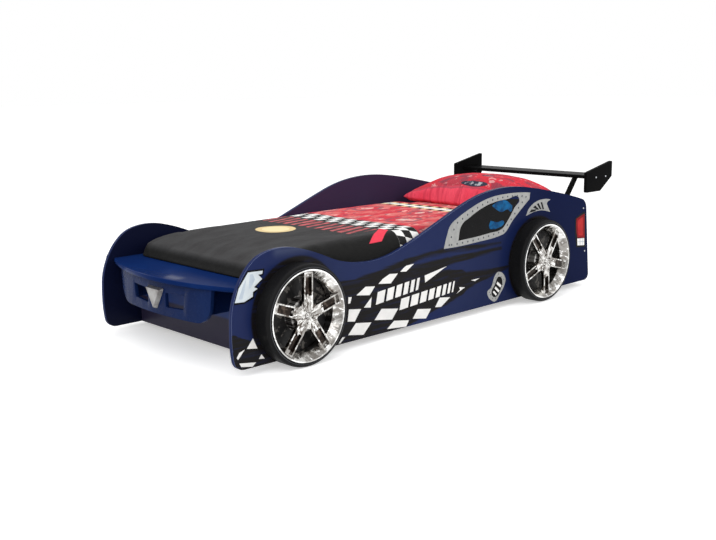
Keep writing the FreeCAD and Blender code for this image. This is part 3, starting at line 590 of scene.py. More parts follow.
def finish_node(name, material, rounding=0.0):
    """Gives a CAD node its material and, with modifiers only, a slightly rounded edge."""
    piece = nodes[name]
    piece.data.materials.clear()
    piece.data.materials.append(material)
    if rounding:
        weld = piece.modifiers.new("close_seams", "WELD")
        weld.merge_threshold = 0.00001
        flatten = piece.modifiers.new("join_flats", "DECIMATE")
        flatten.decimate_type = "DISSOLVE"
        flatten.angle_limit = FLAT_ENOUGH
        soften = piece.modifiers.new("round_edges", "BEVEL")
        soften.limit_method = "ANGLE"
        soften.angle_limit = SHARP_ENOUGH
        soften.width = rounding
        soften.segments = 2
        soften.harden_normals = True
    return piece


panel_material = panel_print()
for side in ("near", "far"):
    finish_node("side_panel_" + side, panel_material, 0.0016)
print("panel streaks:", len(STREAKS))

# %% [markdown]
# The bonnet shelf and the bumper are lacquered. The board behind them is only foil, so it looks
# duller and a little purple; its upper strip, behind the bumper, gets painted shade with a painted
# reflection of the bonnet's blue. The spoiler is black. The white studio shines in every board
# that is seen at a flat angle, so the specular levels are low. Cloudy colour and roughness and a
# faint waviness keep each board from looking like one flat colour.

# %% Lacquered and foiled boards
def lacquer(name, colour, lighter, roughness, level=0.1):
    material, tree, shader = start_material(name, colour, roughness, Specular_IOR_Level=level)
    vector = place_of(tree)[0]
    tone = cloudy(tree, vector, 3.5, 0.25, 0.75)
    paint(tree, shader, tone, colour, lighter)
    fine = cloudy(tree, vector, 60.0, 0.3, 0.8)
    vary(tree, shader, "Roughness", fine, 0.06, roughness)
    wavy_skin(tree, shader, vector, 9.0, 0.02, 0.04, 0.001)
    return material


def polish(material, start, end, widths, weight):
    """A clear coat along one stroke of a level board, from (x, y) to (x, y)."""
    tree = material.node_tree
    sockets = tree.nodes["Principled BSDF"].inputs
    x, y = place_of(tree)[1:3]
    mask = stroke(tree, x, y, start, end, widths, 0.05)
    sockets["Coat Roughness"].default_value = 0.06
    feed(tree, sockets["Coat Weight"], times(tree, mask, weight))


STRIP_LOW = 0.148


def foot_board_finish():
    """Dull foil below, and painted shade with a painted reflection of the bonnet's blue behind the
    bumper.
    """
    material, tree, shader = start_material("foot_foil", seen(46, 43, 58), 0.4, Specular_IOR_Level=0.1)
    vector, *_, z = place_of(tree)
    tone = cloudy(tree, vector, 3.5, 0.25, 0.75)
    foil = mix_colour(tree, tone, seen(36, 32, 54), seen(42, 38, 58))
    # painted shade with a painted reflection of the bonnet's blue, on the upper strip
    strip_shade_and_reflection = ramp_up(tree, z, STRIP_LOW, STRIP_LOW + 0.014)
    paint(tree, shader, strip_shade_and_reflection, foil, seen(30, 54, 112))
    wavy_skin(tree, shader, vector, 22.0, 0.05, 0.04, 0.001)
    return material


bonnet_lacquer = lacquer("bonnet_lacquer", seen(13, 33, 79), seen(17, 41, 91), 0.16, 0.003)
bumper_lacquer = lacquer("bumper_lacquer", seen(13, 29, 68), seen(20, 38, 79), 0.24, 0.04)
polish(bonnet_lacquer, (-1.262, 0.2), (-1.235, -0.12), (0.034, 0.02), 0.3)
foot_foil = foot_board_finish()
spoiler_black = lacquer("spoiler_black", seen(12, 12, 13), seen(18, 18, 18), 0.3, 0.006)
head_foil = lacquer("head_foil", seen(34, 30, 58), seen(40, 34, 62), 0.45)
finish_node("bonnet_shelf", bonnet_lacquer, 0.001)
finish_node("bumper_face", bumper_lacquer, 0.0015)
finish_node("front_board", foot_foil, 0.0012)
finish_node("headboard", head_foil, 0.0012)
for side in ("near", "far"):
    finish_node("bumper_gusset_" + side, bumper_lacquer, 0.001)
    finish_node("spoiler_end_plate_" + side, spoiler_black, 0.0015)
    finish_node("spoiler_strut_" + side, spoiler_black, 0.001)
finish_node("spoiler_wing", spoiler_black, 0.0015)
print("boards finished")

# %% [markdown]
# The slatted base is plain softwood: pale, with fine grain along each piece. The rails and slats
# lie in different directions, so the grain group is turned by a Mapping node for the slats. The
# glides are black plastic, and the screws are zinc-plated steel.

# %% Bare timber, plastic and steel
def timber(name, turned):
    material, tree, shader = start_material(name, seen(205, 176, 132), 0.6)
    vector = stretch(tree, place_of(tree)[0], (1, 1, 1), turned)
    lines = use_group(tree, grain, Vector=vector, Scale=26.0)
    pale_to_dark = mix_colour(tree, lines["Mask"], seen(222, 198, 156), seen(176, 138, 92))
    feed(tree, shader.inputs["Base Color"], pale_to_dark)
    bump(tree, shader, lines["Height"], 0.2, 0.0006)
    return material


long_timber = timber("rail_timber", (0, 0, 0))
cross_timber = timber("slat_timber", (0, 0, math.radians(90)))
upright_timber = timber("leg_timber", (0, math.radians(90), 0))
steel, steel_tree, steel_shader = start_material("screw_steel", seen(176, 178, 182), 0.3, Metallic=1.0)
steel_rub = cloudy(steel_tree, place_of(steel_tree)[0], 400.0, 0.4, 0.6)
vary(steel_tree, steel_shader, "Roughness", steel_rub, 0.2, 0.25)
glide_plastic = lacquer("glide_plastic", seen(22, 22, 23), seen(32, 32, 33), 0.5, 0.3)

for name in nodes:
    if name.startswith("slat_"):
        finish_node(name, cross_timber, 0.002)
    elif name.startswith(("front_leg", "rear_leg", "beam_leg", "corner_cleats")):
        finish_node(name, upright_timber, 0.0015)
    elif name.startswith("side_rail") or name == "centre_beam":
        finish_node(name, long_timber, 0.0015)
finish_node("leg_glides", glide_plastic, 0.0008)
finish_node("panel_screws", steel, 0.0006)
finish_node("spoiler_screws", steel, 0.0006)
print("base finished")

# %% [markdown]
# The window, the vent, the lights and the chequers are part of the same printed film. Crisp edges
# are easier to draw than to compute in a shader, so each is a flat outline, filled and given the
# thickness of a sticker. Curves with automatic handles make the round stretches. The outlines are
# (x, z) points in millimetres on the panel, and every print is made for both sides of the bed.

# %% Flat prints on both panels
PANEL_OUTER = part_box("side_panel_far")[1].y
FILM = 0.00025


def outline(curve, points, corners):
    spline = curve.splines.new("BEZIER")
    spline.bezier_points.add(len(points) - 1)
    for number, (knot, (x, z)) in enumerate(zip(spline.bezier_points, points)):
        kind = "VECTOR" if corners == "all" or number in corners else "AUTO"
        knot.co = (x * MM, z * MM, 0)
        knot.handle_left_type = kind
        knot.handle_right_type = kind
    spline.use_cyclic_u = True
    spline.resolution_u = 1 if corners == "all" else 8


def film(name, loops, material, layer=1, corners="all"):
    """Closed outlines as a thin sheet on each side panel; a loop inside another one is a hole."""
    curve = bpy.data.curves.new(name, "CURVE")
    curve.dimensions = "2D"
    curve.fill_mode = "BOTH"
    curve.extrude = FILM / 2
    for points in loops:
        outline(curve, points, corners)
    flat_mesh = mesh_from_curve(name, curve)
    for side, label in SIDES:
        mesh = flat_mesh.copy()
        stand = PANEL_OUTER + FILM * (layer - 0.5)
        place = Matrix(((1, 0, 0, 0), (0, 0, side, side * stand), (0, 1, 0, 0), (0, 0, 0, 1)))
        mesh.transform(place)
        shell = bmesh.new()
        shell.from_mesh(mesh)
        bmesh.ops.remove_doubles(shell, verts=shell.verts, dist=0.000001)
        bmesh.ops.recalc_face_normals(shell, faces=shell.faces)
        shell.to_mesh(mesh)
        shell.free()
        add_piece(name + "_" + label, mesh, material)


def printed(name, colour, second, scale=40.0, roughness=0.3):
    """Ink on film: one colour, a little uneven, under the same lacquer as the panel."""
    material, tree, shader = start_material(name, colour, roughness, Specular_IOR_Level=0.05)
    vector = place_of(tree)[0]
    tone = cloudy(tree, vector, scale)
    paint(tree, shader, tone, colour, second)
    wavy_skin(tree, shader, vector, 22.0, 0.05, 0.04, 0.0008)
    return material


ink_white = printed("ink_white", seen(235, 233, 230), seen(222, 221, 219), 12.0)
ink_silver = printed("ink_silver", seen(162, 162, 160), seen(148, 149, 148), 40.0)
ink_black = printed("ink_black", seen(12, 12, 13), seen(9, 9, 10), 18.0, 0.22)
ink_outline = printed("ink_outline", seen(9, 10, 14), seen(14, 14, 18))
ink_rivet = printed("ink_rivet", seen(58, 60, 66), seen(80, 82, 88), 90.0)
ink_blue = printed("ink_blue", seen(14, 92, 142), seen(8, 44, 82), 30.0)
ink_red = printed("ink_red", seen(142, 15, 24), seen(116, 12, 20), 20.0, 0.2)
ink_red_lit = printed("ink_red_lit", seen(180, 42, 42), seen(162, 30, 34), 20.0, 0.2)
ink_lamp = printed("ink_lamp", seen(212, 219, 222), seen(198, 206, 212), 20.0, 0.2)
ink_lamp_shade = printed("ink_lamp_shade", seen(176, 188, 200), seen(192, 202, 212), 20.0, 0.2)
print("inks ready")

# %% [markdown]
# The window is a riveted silver frame round dark glass. The frame is one outline with a hole, the
# glass fills the hole, and the rivets are small domes set along the middle of the frame at even
# steps. What shows behind the glass is kept to two plain blue reflections.

# %% Window with rivets
WINDOW_OUTER = (
    (-86, 340), (-63, 403), (-44, 438), (12, 470), (89, 500), (167, 524), (248, 539), (351, 544),
    (459, 541), (536, 534), (531, 502), (461, 455), (398, 408), (346, 361), (304, 351), (150, 342),
    (13, 338),
)
WINDOW_INNER = (
    (11, 364), (32, 430), (89, 461), (168, 492), (248, 511), (352, 518), (452, 510), (417, 473),
    (355, 406), (324, 383), (231, 373), (130, 367),
)
RIVET_LINE = (
    (-50, 352), (-28, 408), (6, 447), (89, 481), (167, 508), (248, 525), (351, 531), (440, 527),
    (506, 518), (440, 463), (378, 408), (335, 371), (231, 360), (130, 353), (-10, 351),
)
REFLECTIONS = (
    ((246, 498), (290, 514), (352, 512), (398, 484), (392, 458), (360, 470), (318, 462), (278, 478)),
    ((238, 430), (284, 418), (338, 412), (318, 394), (262, 388), (228, 400)),
)
film("window_frame", (WINDOW_OUTER, WINDOW_INNER), ink_silver, 1, (0, 9, 10))
film("window_glass", (WINDOW_INNER,), ink_black, 1, (0, 6))
film("window_reflection", REFLECTIONS, ink_blue, 2, (0, 3))


def along_line(points, step):
    """Places at even steps along a closed line."""
    places = []
    left = 0.0
    for start, end in zip(points, points[1:] + points[:1]):
        run = Vector(end) - Vector(start)
        while left < run.length:
            places.append(Vector(start) + run.normalized() * left)
            left += step
        left -= run.length
    return places


def rivets(name, places, radius, layer, material):
    """Low printed domes on both panels, joined as one piece on each side."""
    for side, label in SIDES:
        shell = bmesh.new()
        for place in places:
            dome = bmesh.ops.create_cone(
                shell, cap_ends=True, segments=8, radius1=radius * MM, radius2=radius * 0.6 * MM,
                depth=0.0006,
            )
            stand = side * (PANEL_OUTER + FILM * layer)
            turn = Matrix.Rotation(-side * math.radians(90), 4, "X")
            centre = Matrix.Translation((place.x * MM, stand, place.y * MM))
            bmesh.ops.transform(shell, matrix=centre @ turn, verts=dome["verts"])
        label = name + "_" + label
        add_piece(label, mesh_from(label, shell), material)


window_rivets = along_line(RIVET_LINE, 37)
rivets("window_rivets", window_rivets, 6.0, 1, ink_rivet)
print("window rivets:", len(window_rivets), "on each side")

# %% [markdown]
# The smaller prints follow: a slatted vent behind the window, a riveted plate, and head and tail
# lights. The lights have a dark outline under them, a little larger, as such prints usually have.

# %% Vent, plate and lights
VENT = (
    (507, 423), (528, 455), (583, 484), (663, 491), (704, 485), (675, 468), (682, 453), (703, 423),
    (630, 438), (562, 435),
)
VENT_SLITS = (
    ((532, 436), (548, 450), (592, 447), (580, 439)),
    ((562, 458), (578, 468), (612, 444), (600, 443)),
    ((592, 472), (606, 476), (630, 445), (618, 444)),
    ((622, 478), (634, 478), (652, 441), (640, 441)),
)
film("vent", (VENT,), ink_silver, 1, (0, 4, 7))
film("vent_slits", VENT_SLITS, ink_outline, 2)

PLATE = (
    (222, 97), (246, 111), (281, 170), (304, 180), (355, 142), (355, 124), (309, 64), (282, 41),
    (260, 46), (226, 76),
)
PLATE_LINE = (
    (236, 92), (256, 112), (290, 164), (303, 169), (343, 139), (343, 126), (300, 70), (280, 52),
    (262, 57),
)
PLATE_DARK = ((252, 84), (276, 122), (304, 156), (331, 136), (322, 98), (284, 62))
PLATE_BARS = (
    ((262, 88), (270, 94), (292, 74), (284, 68)),
    ((274, 104), (282, 112), (312, 88), (304, 80)),
    ((288, 124), (296, 134), (324, 112), (318, 102)),
)
film("plate", (PLATE,), ink_silver, 1, ())
film("plate_dark", (PLATE_DARK,), ink_black, 2, ())
film("plate_bars", PLATE_BARS, ink_white, 3)
rivets("plate_rivets", along_line(PLATE_LINE, 26), 3.2, 2, ink_rivet)

TAIL_LIGHT = ((934, 363), (971, 374), (1005, 383), (1013, 256), (948, 264), (934, 313))
TAIL_CORE = ((947, 352), (972, 362), (990, 366), (997, 270), (958, 275), (947, 315))
TAIL_REVERSE = ((946, 259), (1010, 254), (1012, 217), (951, 223))
TAIL_EDGE = ((924, 366), (971, 385), (1011, 394), (1022, 206), (940, 214), (925, 300))
TAIL_GRID = (
    ((950, 243), (1010, 238), (1010, 235), (950, 240)),
    ((970, 257), (974, 257), (976, 222), (972, 222)),
    ((991, 255), (995, 255), (997, 220), (993, 220)),
)
film("tail_edge", (TAIL_EDGE,), ink_outline, 1, (0, 2, 3, 4))
film("tail_light", (TAIL_LIGHT,), ink_red, 2, (0, 2, 3, 4))
film("tail_core", (TAIL_CORE,), ink_red_lit, 3, (0, 2, 3, 4))
film("tail_reverse", (TAIL_REVERSE,), ink_white, 2)
film("tail_grid", TAIL_GRID, ink_lamp_shade, 3)

HEADLIGHT = (
    (-1222, 289), (-1202, 340), (-1158, 393), (-1090, 390), (-1094, 378), (-1112, 378), (-1094, 360),
    (-1133, 334), (-1117, 326), (-1139, 317), (-1140, 300), (-1180, 286),
)
HEADLIGHT_FACETS = (
    ((-1205, 300), (-1180, 352), (-1168, 366), (-1176, 330), (-1188, 297)),
    ((-1150, 384), (-1136, 384), (-1128, 362), (-1146, 336), (-1158, 330)),
)
HEADLIGHT_EDGE = (
    (-1226, 282), (-1206, 344), (-1161, 400), (-1082, 397), (-1088, 372), (-1104, 372), (-1086, 356),
    (-1122, 336), (-1106, 324), (-1132, 310), (-1134, 293), (-1180, 279),
)
film("headlight_edge", (HEADLIGHT_EDGE,), ink_outline, 1)
film("headlight", (HEADLIGHT,), ink_lamp, 2)
film("headlight_facets", HEADLIGHT_FACETS, ink_lamp_shade, 3)
print("lights and plates printed")

# %% [markdown]
# A chequered flag breaks up as it streams back from the front wheel. Its squares are skewed and
# each has its own size, so they are plain four-cornered outlines. Between them, two rows of
# slanted bars of falling width fill the widest part of the black.

# %% Chequers and bars
CHEQUERS = (
    ((-618, 218), (-543, 207), (-512, 239), (-566, 246)),
    ((-492, 246), (-419, 237), (-377, 273), (-426, 278), (-467, 263)),
    ((-362, 278), (-326, 274), (-277, 301), (-326, 299), (-344, 290)),
    ((-210, 239), (-207, 207), (-66, 260)),
    ((-142, 86), (-103, 81), (-42, 115), (-111, 124)),
    ((-286, 60), (-201, 46), (-169, 84), (-254, 97)),
    ((-443, 44), (-327, 33), (-310, 58), (-401, 72)),
    ((-516, 96), (-413, 80), (-376, 121), (-475, 137)),
    ((-667, 61), (-581, 46), (-535, 90), (-623, 103)),
    ((-669, 118), (-629, 111), (-593, 157), (-660, 167)),
    ((-664, 191), (-653, 191), (-644, 215), (-662, 218)),
    ((-577, 160), (-538, 154), (-532, 197)),
    ((-720, 36), (-709, 36), (-684, 57), (-699, 58)),
    ((101, 170), (130, 162), (163, 171)),
    ((0, 123), (60, 144), (20, 151), (26, 138)),
    ((-1176, 108), (-1127, 100), (-1146, 143)),
    ((-1223, 83), (-1217, 74), (-1185, 108), (-1210, 100)),
    ((-1212, 60), (-1204, 45), (-1152, 35), (-1135, 48)),
    ((-1122, 58), (-1109, 74), (-1094, 54)),
)
film("chequers", CHEQUERS, ink_white, 1)


def slanted_bars(start, slope, height, lean, widths, gap):
    """Bars from left to right whose feet stand on a rising line."""
    bars = []
    x, z = start
    for width in widths:
        foot = z + (x - start[0]) * slope
        end, end_foot = x + width, foot + width * slope
        top, end_top = (x + lean, foot + height), (end + lean, end_foot + height)
        bars.append(((x, foot), (end, end_foot), end_top, top))
        x += width + gap
    return bars


upper_bars = slanted_bars((-508, 160), 0.09, 52, 12, (46, 40, 34, 28, 22, 16), 14)
lower_bars = slanted_bars((-368, 112), 0.07, 48, 12, (52, 46, 40, 34, 28, 22, 16, 10), 14)
film("speed_bars", upper_bars + lower_bars, ink_white, 1)
print("chequers:", len(CHEQUERS), "bars:", len(upper_bars) + len(lower_bars))

# %% [markdown]
# The wheels are mouldings that stand against the panels: a dull black tyre and a chromed rim. On
# the real ones the chrome mirrors a cluttered room. A white stage has nothing to mirror, so that
# room is painted into the metal's colour instead: painted reflections drift round the axle in
# streaks of white, grey and brown, and the troughs in the spokes get painted shade. For that, the
# shader finds the nearer axle by itself.

# %% Places on a wheel
def wheel_place(tree):
    """Distance from the nearer axle, and a vector that changes only with the way round it."""
    vector, x, y, z = place_of(tree)
    at_rear = calc(tree, "GREATER_THAN", x, (front_axle + rear_axle) / 2)
    axle = calc(tree, "MULTIPLY_ADD", at_rear, rear_axle - front_axle, front_axle)
    off_x = calc(tree, "SUBTRACT", x, axle)
    off_z = calc(tree, "SUBTRACT", z, WHEEL_HEIGHT)
    square = calc(tree, "MULTIPLY_ADD", off_x, off_x, times(tree, off_z, off_z))
    reach = calc(tree, "SQRT", square)
    round_it = add_node(tree, "ShaderNodeCombineXYZ")
    feed(tree, round_it.inputs[0], calc(tree, "DIVIDE", off_x, reach))
    feed(tree, round_it.inputs[1], times(tree, reach, 6.0))
    feed(tree, round_it.inputs[2], calc(tree, "DIVIDE", off_z, reach))
    depth = calc(tree, "SUBTRACT", calc(tree, "ABSOLUTE", y), PANEL_OUTER)
    return vector, reach, round_it.outputs[0], depth


print("axles at", round(front_axle, 3), "and", round(rear_axle, 3))

# %% [markdown]
# Tyre, rim and backing get one material each. Bands at set distances from the axle mark off a thin
# painted highlight ring on the tyre, the rim's lip and spokes, and the silvered drum behind them.

# %% Tyre and chrome
# a thin painted highlight ring on the tyre's side lies this far from the axle
TYRE_HIGHLIGHT_RING = 0.1865
LIP = 0.1745
SPOKE_END = 0.146
TROUGH_FLOOR = 0.056
DRUM = 0.068


def tyre_plastic():
    material, tree, shader = start_material(
        "tyre_plastic", seen(20, 20, 21), 0.5, Specular_IOR_Level=0.07,
    )
    vector, reach = wheel_place(tree)[:2]
    tone = cloudy(tree, vector, 6.0, 0.3, 0.75)
    rubber = mix_colour(tree, tone, seen(16, 16, 17), seen(23, 23, 24))
    # painted highlight: a thin pale ring on the tyre's side
    line = between(tree, reach, TYRE_HIGHLIGHT_RING, TYRE_HIGHLIGHT_RING + 0.0016, 0.0004)
    paint(tree, shader, line, rubber, seen(74, 76, 80))
    wavy_skin(tree, shader, vector, 500.0, 0.35, 0.1, 0.0005)
    return material


def ripple(tree, shader, vector):
    """The uneven surface of plated plastic."""
    bump(tree, shader, noise_of(tree, vector, 45.0, 2.0), 0.2, 0.0015)


def chrome():
    material, tree, shader = start_material("bright_chrome", seen(200, 198, 196), 0.14, Metallic=1.0)
    vector, reach, round_it, depth = wheel_place(tree)
    # painted reflections: grey and dark streaks, darker spots and bright gleams round the axle
    reflected_grey_streaks = cloudy(tree, round_it, 3.4, 0.42, 0.56)
    reflected_dark_streaks = cloudy(tree, round_it, 5.5, 0.53, 0.58)
    painted_gleams = cloudy(tree, round_it, 8.0, 0.58, 0.62)
    spots = cloudy(tree, vector, 34.0, 0.5, 0.62)
    tone = mix_colour(tree, reflected_grey_streaks, seen(212, 211, 208), seen(146, 143, 139))
    on_spokes = ramp_down(tree, reach, 0.14, 0.155)
    spoke_reflection_darkening = calc(tree, "MULTIPLY_ADD", on_spokes, 0.55, 0.45)
    tone = mix_colour(tree, times(tree, reflected_dark_streaks, spoke_reflection_darkening), tone, seen(86, 79, 73))
    tone = mix_colour(tree, times(tree, spots, 0.45), tone, seen(96, 91, 86))
    tone = mix_colour(tree, painted_gleams, tone, seen(236, 236, 235))
    # painted shade with a brownish painted reflection on the floor of the spoke troughs
    inside_spokes = ramp_down(tree, reach, SPOKE_END, SPOKE_END + 0.004)
    floor_level = between(tree, depth, TROUGH_FLOOR - 0.003, TROUGH_FLOOR + 0.004)
    trough_shade = times(tree, inside_spokes, floor_level)
    trough_shade_colour = mix_colour(tree, spots, seen(38, 33, 30), seen(78, 68, 61))
    tone = mix_colour(tree, trough_shade, tone, trough_shade_colour)
    # a bright painted reflection on the lip, greyer in the streaks
    lip = ramp_up(tree, reach, LIP, LIP + 0.001)
    lip_reflection = mix_colour(tree, reflected_grey_streaks, seen(238, 238, 237), seen(178, 177, 175))
    tone = mix_colour(tree, lip, tone, lip_reflection)
    feed(tree, shader.inputs["Base Color"], tone)
    dull = cloudy(tree, vector, 40.0, 0.4, 0.7)
    vary(tree, shader, "Roughness", dull, 0.1, 0.14)
    ripple(tree, shader, vector)
    return material


def backing_finish():
    """Black behind the spokes with painted gleams, and a silvered drum with painted reflections."""
    material, tree, shader = start_material(
        "wheel_backing", seen(20, 20, 21), 0.4, Specular_IOR_Level=0.2,
    )
    vector, reach, round_it = wheel_place(tree)[:3]
    drum = ramp_down(tree, reach, DRUM, DRUM + 0.002)
    # painted reflections in patches on the drum, and painted gleams on the black
    reflection_patches = cloudy(tree, round_it, 5.0, 0.45, 0.55)
    silver = mix_colour(tree, reflection_patches, seen(172, 171, 169), seen(64, 60, 58))
    painted_gleams = cloudy(tree, round_it, 4.0, 0.55, 0.6)
    dark = mix_colour(tree, reflection_patches, seen(14, 14, 15), seen(30, 29, 29))
    dark = mix_colour(tree, painted_gleams, dark, seen(96, 92, 88))
    paint(tree, shader, drum, dark, silver)
    feed(tree, shader.inputs["Metallic"], times(tree, drum, 0.9))
    ripple(tree, shader, vector)
    return material


tyre_material = tyre_plastic()
chrome_material = chrome()
backing_material = backing_finish()
for name in nodes:
    if name.startswith("tyre_"):
        finish_node(name, tyre_material)
    elif name.startswith("rim_"):
        finish_node(name, chrome_material, 0.0014)
    elif name.startswith("wheel_backing"):
        finish_node(name, backing_material, 0.001)
finish_node("hub_caps", chrome_material, 0.001)
finish_node("wheel_nuts", chrome_material, 0.0008)
print("wheels finished")

# %% [markdown]
# Between the spokes, the hub of such a wheel flares out into five webs. The flare is a ten-pointed
# outline, extruded and bevelled, with its long points under the spokes. It could be part of the
# rim, but it is a small form that only the eye needs, so it stays a piece of its own.

# %% Hub flares
FLARE_LONG = 0.088
FLARE_SHORT = 0.053
FLARE_BACK = 0.051
FLARE_FRONT = 0.0625
# how far the front and the rear wheels were turned when they were fixed
FRONT_TURN = math.radians(-2)
REAR_TURN = math.radians(39)


def hub_flare(name, axle, side, turn):
    shell = bmesh.new()
    ring = bmesh.ops.create_circle(shell, cap_ends=True, segments=10, radius=FLARE_LONG)
    for number, knot in enumerate(ring["verts"]):
        way = turn + math.radians(90 + 36 * number)
        reach = FLARE_LONG if number % 2 == 0 else FLARE_SHORT
        knot.co = Vector((reach * math.cos(way), reach * math.sin(way), FLARE_BACK))
    face = shell.faces[:]
    grown = bmesh.ops.extrude_face_region(shell, geom=face)
    top = [item for item in grown["geom"] if isinstance(item, bmesh.types.BMVert)]
    bmesh.ops.translate(shell, vec=(0, 0, FLARE_FRONT - FLARE_BACK), verts=top)
    top_edges = [edge for edge in shell.edges if all(knot in top for knot in edge.verts)]
    bmesh.ops.bevel(
        shell, geom=top_edges, offset=0.006, segments=3, profile=0.5, affect="EDGES", material=-1
    )
    stand = Matrix((
        (-side, 0, 0, axle), (0, 0, side, side * PANEL_OUTER), (0, 1, 0, WHEEL_HEIGHT), (0, 0, 0, 1),
    ))
    bmesh.ops.transform(shell, matrix=stand, verts=shell.verts[:])
    bmesh.ops.recalc_face_normals(shell, faces=shell.faces)
    piece = add_piece(name, mesh_from(name, shell, smooth=True), chrome_material)


for side, label in SIDES:
    hub_flare("hub_flare_front_" + label, front_axle, side, FRONT_TURN)
    hub_flare("hub_flare_rear_" + label, rear_axle, side, REAR_TURN)
print("hub flares reach", FLARE_LONG, "m")

# %% [markdown]
# The badge on the bumper is a plain triangle with sloping sides, cast in dull silver. Its colour
# is a little uneven, in soft cloudy patches.

# %% Badge
def badge_silver():
    material, tree, shader = start_material("badge_silver", seen(150, 149, 148), 0.34, Metallic=0.7)
    vector = place_of(tree)[0]
    tone = cloudy(tree, vector, 18.0)
    paint(tree, shader, tone, seen(156, 155, 154), seen(116, 112, 111))
    wavy_skin(tree, shader, vector, 60.0, 0.35, 0.1, 0.0008)
    return material


finish_node("grille_badge", badge_silver(), 0.003)
print("badge finished")


# %% [markdown]
# The bedding is cloth, so it is shaped as cloth: a grid of small squares is laid over the form,
# given its thickness, and then blown up a little by a cloth simulation with a weak inner
# pressure. The cloth is also told to grow by a few percent. The quilt's hems are held, so the
# extra length has to go somewhere, and it buckles into soft wrinkles.

# %% Laying a grid of cloth over a form
def lay_sheet(counts, rims):
    """A flat grid whose middle is the top of a form and whose outer rows hang down its sides."""
    across, along = counts
    shell = bmesh.new()
    columns = across + 2 * rims
    rows = along + 2 * rims
    bmesh.ops.create_grid(shell, x_segments=columns, y_segments=rows, size=0.5)
    shell.verts.ensure_lookup_table()
    for knot in shell.verts:
        knot.co.x = (knot.co.x + 0.5) * columns
        knot.co.y = (knot.co.y + 0.5) * rows
    return shell


def split_run(number, rims, core):
    """How far a row hangs over the edge, -1 to 1, and its share of the way across the middle."""
    if number < rims:
        return (number - rims) / rims, 0.0
    if number > rims + core:
        return (number - rims - core) / rims, 1.0
    return 0.0, (number - rims) / core


def hang(run, radius):
    """How far out and how far down a run of cloth reaches past the start of a rounded edge."""
    bend = math.pi * radius / 2
    if run < bend:
        return radius * math.sin(run / radius), radius * (1 - math.cos(run / radius))
    return radius, radius + run - bend


def round_corner(place, corner, reach):
    """Moves a point near a square corner of the plan towards the arc of a round one."""
    way = Vector((math.copysign(1, corner[0]), math.copysign(1, corner[1])))
    centre = Vector((corner[0] - way.x * reach, corner[1] - way.y * reach))
    first = (place.x - centre.x) * way.x / reach
    second = (place.y - centre.y) * way.y / reach
    if first > 0 and second > 0:
        first, second = min(first, 1.0), min(second, 1.0)
        place.x = centre.x + way.x * reach * first * math.sqrt(1 - second * second / 2)
        place.y = centre.y + way.y * reach * second * math.sqrt(1 - first * first / 2)
    return place


def puff(piece, held, pressure, growth, cap, frames=20, stiffness=12.0):
    """Cloth simulation with inner pressure; vertices in `held` stay, no point moves past cap."""
    before = [knot.co.copy() for knot in piece.data.vertices]
    group = piece.vertex_groups.new(name="held")
    group.add(held, 1.0, "REPLACE")
    cloth = piece.modifiers.new("cloth", "CLOTH")
    settings = cloth.settings
    settings.quality = 5
    settings.mass = 0.3
    settings.tension_stiffness = stiffness
    settings.compression_stiffness = stiffness
    settings.shear_stiffness = stiffness * 0.4
    settings.bending_stiffness = 0.4
    settings.use_pressure = True
    settings.uniform_pressure_force = pressure
    settings.shrink_min = -growth
    settings.effector_weights.gravity = 0
    if held:
        settings.vertex_group_mass = "held"
    cloth.collision_settings.use_collision = False
    for number in range(1, frames + 1):
        bpy.context.scene.frame_set(number)
    shaped = piece.evaluated_get(bpy.context.evaluated_depsgraph_get())
    after = [knot.co.copy() for knot in shaped.data.vertices]
    piece.modifiers.remove(cloth)
    bpy.context.scene.frame_set(1)
    piece.vertex_groups.clear()
    moved = 0.0
    for knot, old, new in zip(piece.data.vertices, before, after):
        step = new - old
        if step.length > cap:
            step *= cap / step.length
        moved = max(moved, step.length)
        knot.co = old + step
    print(piece.name, "moved by up to", round(moved / MM, 1), "mm")


def subdivide_once(piece):
    finer = piece.modifiers.new("finer", "SUBSURF")
    finer.levels = finer.render_levels = 1


print("cloth helpers ready")

# %% [markdown]
# The mattress hardly shows: its head end and the gap beside the quilt. It is still a real
# mattress, with raised rims, a cord round the upper and the lower one, and striped ticking.

# %% Mattress
def striped_ticking():
    material, tree, shader = start_material("striped_ticking", seen(222, 220, 212), 0.85)
    shader.inputs["Sheen Weight"].default_value = 0.2
    vector, _, y, _ = place_of(tree)
    stripe = calc(tree, "PINGPONG", y, 0.012)
    mask = ramp_up(tree, stripe, 0.0085, 0.0095)
    paint(tree, shader, mask, seen(224, 222, 214), seen(150, 168, 190))
    threads = use_group(tree, weave, Vector=vector, Threads=600.0)
    bump(tree, shader, threads["Height"], 0.3, 0.0005)
    return material


